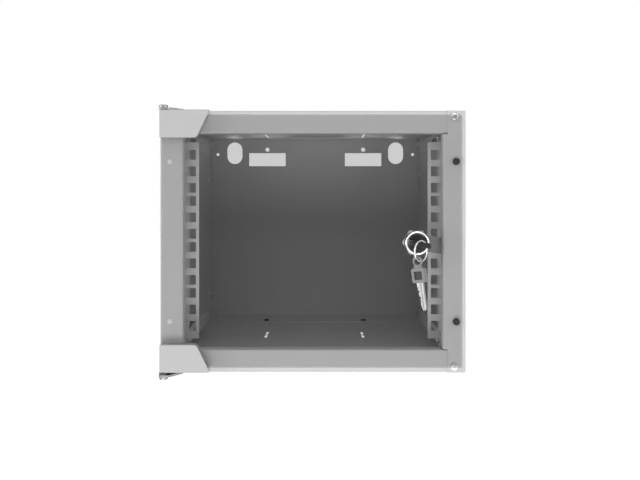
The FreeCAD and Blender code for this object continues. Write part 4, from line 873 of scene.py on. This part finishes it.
def make_spare_blade():
    """Its back is straight; the other edge has five cuts and slopes to the tip."""
    back, edge, slope, slope_run = 3.2, -3.2, 1.6, 8
    top, root, tip = -16.6, -21.6, -43.6
    cuts = ((-24.2, 0.9), (-26.9, 1.7), (-29.6, 0.6), (-32.3, 1.5), (-35.0, 0.8))
    rows = [(edge, back, top), (edge, back, root - 1.0)]
    for middle, depth in cuts:
        for offset, share in ((1.25, 0.0), (0.45, 1.0), (-0.45, 1.0), (-1.25, 0.0)):
            height = middle + offset
            along = max(0.0, (root - 4 - height) / (root - 4 - (tip + slope_run)))
            rows.append((edge + slope * along + depth * share, back, height))
    rows += [(-1.6, back, tip + 6), (-0.6, back, tip + 2), (-0.1, 2.4, tip + 0.9), (0.2, 1.7, tip)]
    shape = blade_shape(rows[::-1], 1, ((0.5, 1.9), (1.2, 2.5)))
    put_piece("spare_key_blade", shape, AT_SPARE, "blade_steel", 25.0)


def make_inserted_blade():
    rows = [(-4, 4, 295.2), (-4, 4, 320.2)]
    shape = blade_shape(rows, 1.1, ((-1.2, 0.4), (0.6, 2.2)))
    put_piece("inserted_key_blade", shape, AT_PLUG, angle=25.0)


def make_spare_bow():
    """Moulded black bow: its rim is painted grey, a painted sheen, and the floor in the window
    keeps the bow's black.
    """
    half_width, half_height, half_thick, below_eye = 4.01 * MM, 3.61 * MM, 1.4 * MM, 13.4 * MM
    bow = soften("spare_key_bow", 0.35, "worn_plastic")
    dress(bow, "worn_plastic", "black_plastic")
    back = AT_SPARE.inverted()
    for face in bow.data.polygons:
        spot = back @ face.center
        face.material_index = int(abs(spot.x) < half_width and abs(spot.y) < half_thick
                                  and abs(spot.z + below_eye) < half_height)


def make_ring_group():
    """A flat wire of two turns side by side, with a step where one passes into the other."""
    group, given, result = new_group(
        "split ring",
        [("Seats", "Geometry", None), ("Radius", "Float", 0.009), ("Step", "Float", 0.00062),
         ("Wire Width", "Float", 0.0006), ("Wire Height", "Float", 0.00115),
         ("Rounding", "Float", 0.0002), ("Finish", "Material", None)],
        [("Ring", "Geometry")], "GeometryNodeTree",
    )
    path = add_node(group, "GeometryNodeCurveSpiral", {
        "Resolution": 96, "Rotations": 1.985, "Start Radius": given["Radius"],
        "End Radius": given["Radius"], "Height": 0.0})
    along = add_node(group, "GeometryNodeSplineParameter").outputs["Factor"]
    rise = map_range(group, along, 0.47, 0.55, -0.5, 0.5, interpolation_type="SMOOTHSTEP")
    shift = add_node(group, "ShaderNodeCombineXYZ", {"Z": times(group, rise, given["Step"])})
    stepped = add_node(group, "GeometryNodeSetPosition", {
        "Geometry": path.outputs["Curve"], "Offset": shift.outputs[0]})
    section = add_node(group, "GeometryNodeCurvePrimitiveQuadrilateral", {
        "Width": given["Wire Height"], "Height": given["Wire Width"]})
    rounded = add_node(group, "GeometryNodeFilletCurve", {
        "Curve": section.outputs["Curve"], "Count": 4, "Radius": given["Rounding"]}, mode="POLY")
    wire = add_node(group, "GeometryNodeCurveToMesh", {
        "Curve": stepped.outputs["Geometry"], "Profile Curve": rounded.outputs["Curve"],
        "Fill Caps": True})
    give(group, result, Ring=real_and_dressed(group, wire.outputs["Mesh"], given["Finish"]))
    return group


def make_split_ring():
    ring = mesh_object("key_ring_detailed", bmesh.new())
    add_node_tree(ring, make_ring_group(), Finish=FINISHES["key_steel"])
    apply_modifiers(ring)
    low, high = (Vector(corner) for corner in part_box("key_ring"))
    axis = Vector((math.cos(RING_YAW), -math.sin(RING_YAW), 0))
    turn = axis.to_track_quat("Z", "Y").to_matrix().to_4x4()
    ring.data.transform(Matrix.Translation((low + high) / 2) @ turn)
    shade(ring, 30.0)
    hand_over(ring, "key_ring")


make_lock_housing()
make_lock_nut()
make_lock_plug()
make_spare_blade()
make_inserted_blade()
make_spare_bow()
make_split_ring()


# Bumpers, plugs, set screws, hinge pins and pane
def shank_rows(radius, length, tip):
    """A plain shank below a head, with a chamfered end."""
    return [(0, -length), (radius - tip[0], -length), (radius, tip[1] - length), (radius, 0)]


def make_bumpers_and_plugs():
    bumper = shank_rows(1.5, 3, (0.3, 0.4)) + [(3.05, 0), (3.15, 0.1)]
    bumper += arc(2.0, 2.7, 1.15, 1.05, 6) + [(0, 3.75)]
    round_pieces("door_bumpers", bumper, (0, -1, 0))
    plug = shank_rows(1.5, 3, (0.3, 0.5)) + [(2.25, 0)]
    plug += arc(1.6, 0.3, 0.7, 0.5, 5) + [(0, 0.8)]
    round_pieces("stile_plugs", plug, (0, -1, 0))


def make_set_screws():
    """Set screws with a thread and a hexagon socket."""
    low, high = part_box("clamp_grub_screws")
    length = (high[1] - low[1]) / MM
    socket = hexagon(1.5, 0.87)
    rows = [(0, 0), (0.9, 0), (1.3, 0.25)]
    rows += thread_rows(1.5, 0.3, length - 0.1, 0.5, 0.26)
    rows += [(1.2, length), (socket, length), (socket, length * 0.4), (0, length * 0.3)]
    round_pieces("clamp_grub_screws", rows, (0, 1, 0), segments=48)


def make_hinge_pins():
    """Shouldered pins with a domed head."""
    head, rise = 4, 2.4
    for name, way in (("upper_hinge_pin", 1), ("lower_hinge_pin", -1)):
        low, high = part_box(name)
        rows = shank_rows(1.75, (high[2] - low[2]) / MM - rise, (0.4, 0.5))
        rows += [(head - 0.15, 0), (head, 0.15), (head, 1.5)]
        rows += arc(2.6, 1.5, 1.4, 0.9, 6, 1) + [(0, rise)]
        # The pins are bright metal; their dark tone and dark rim are a painted dark reflection.
        round_pieces(name, rows, (0, 0, way), "dark_steel")


def make_pane():
    """Toughened pane with a ground and chamfered edge."""
    pane = soften("glass_pane", 0.4, segments=1)
    dress(pane, "glass", "glass_edge")
    for face in pane.data.polygons:
        face.material_index = int(abs(face.normal.y) < 0.9)


make_bumpers_and_plugs()
make_set_screws()
make_hinge_pins()
make_pane()


# Floor, light and camera
FLOOR_HEIGHT = -1.75
FLOOR_HALF = 30.0
FLOOR_GLOW = 0.78
WORLD_LEVEL = 0.3
AIM = Vector((0, -0.25, 0))
LAMPS = (
    # name, place, width and height, watts
    ("low front", (0, -2.3, -1.3), (2.2, 0.8), 25),
    ("high front", (0, -2.3, 1.15), (2.2, 0.8), 5.5),
    ("steep front", (0, -1.4, 2.2), (2.0, 1.2), 8.5),
    ("left side", (-2.2, -1.1, 0.2), (1.2, 1.6), 20),
    ("right side", (2.2, -1.1, 0.2), (1.2, 1.6), 14),
    ("behind", (0, 1.7, -1.0), (1.2, 0.8), 13),
)
CAMERA_PLACE = (0.0064, -0.932, 0.0405)
LENS, SENSOR, SHIFT_UP = 38.76, 36.0, -0.0666


def make_floor():
    """A pale floor well below the hung cabinet; it keeps the soft shadow."""
    shape = bmesh.new()
    bmesh.ops.create_grid(shape, x_segments=1, y_segments=1, size=FLOOR_HALF)
    floor = mesh_object("floor", shape)
    floor.location = (0.0, 0.0, FLOOR_HEIGHT)
    made = Finish("pale floor", (0.8, 0.8, 0.8), 0.9)
    cloud = noise(made.tree, made.place, 3.0)
    darker, lighter = (0.79, 0.79, 0.79, 1), (0.81, 0.81, 0.81, 1)
    made.connect("Base Color", mix_colour(made.tree, cloud, darker, lighter))
    made.shader.inputs["Emission Color"].default_value = (1, 1, 1, 1)
    made.connect("Emission Strength", times(made.tree, seen_rays(made.tree), FLOOR_GLOW))
    floor.data.materials.append(made.material)


def make_world():
    """White to the eye and in reflections, softer as a light."""
    world = bpy.data.worlds.new("studio")
    bpy.context.scene.world = world
    world.use_nodes = True
    tree = world.node_tree
    background = tree.nodes["Background"]
    background.inputs["Color"].default_value = (1, 1, 1, 1)
    strength = plus(tree, WORLD_LEVEL, times(tree, seen_rays(tree), 1.0 - WORLD_LEVEL))
    tree.links.new(strength, background.inputs["Strength"])


def add_lamp(name, place, size, power):
    data = bpy.data.lights.new(name, "AREA")
    data.shape = "RECTANGLE"
    data.size, data.size_y = size
    data.energy = power
    lamp = link_object(name, data)
    lamp.location = place
    lamp.rotation_euler = (AIM - Vector(place)).to_track_quat("-Z", "Y").to_euler()


def make_camera():
    """Level, a little above the middle."""
    data = bpy.data.cameras.new("camera")
    data.sensor_width = SENSOR
    data.lens = LENS
    data.shift_y = SHIFT_UP
    camera = link_object("camera", data)
    camera.location = CAMERA_PLACE
    camera.rotation_euler = (math.radians(90), 0, 0)
    bpy.context.scene.camera = camera


make_floor()
make_world()
for lamp in LAMPS:
    add_lamp(*lamp)
make_camera()
bpy.context.scene.view_settings.view_transform = "Standard"
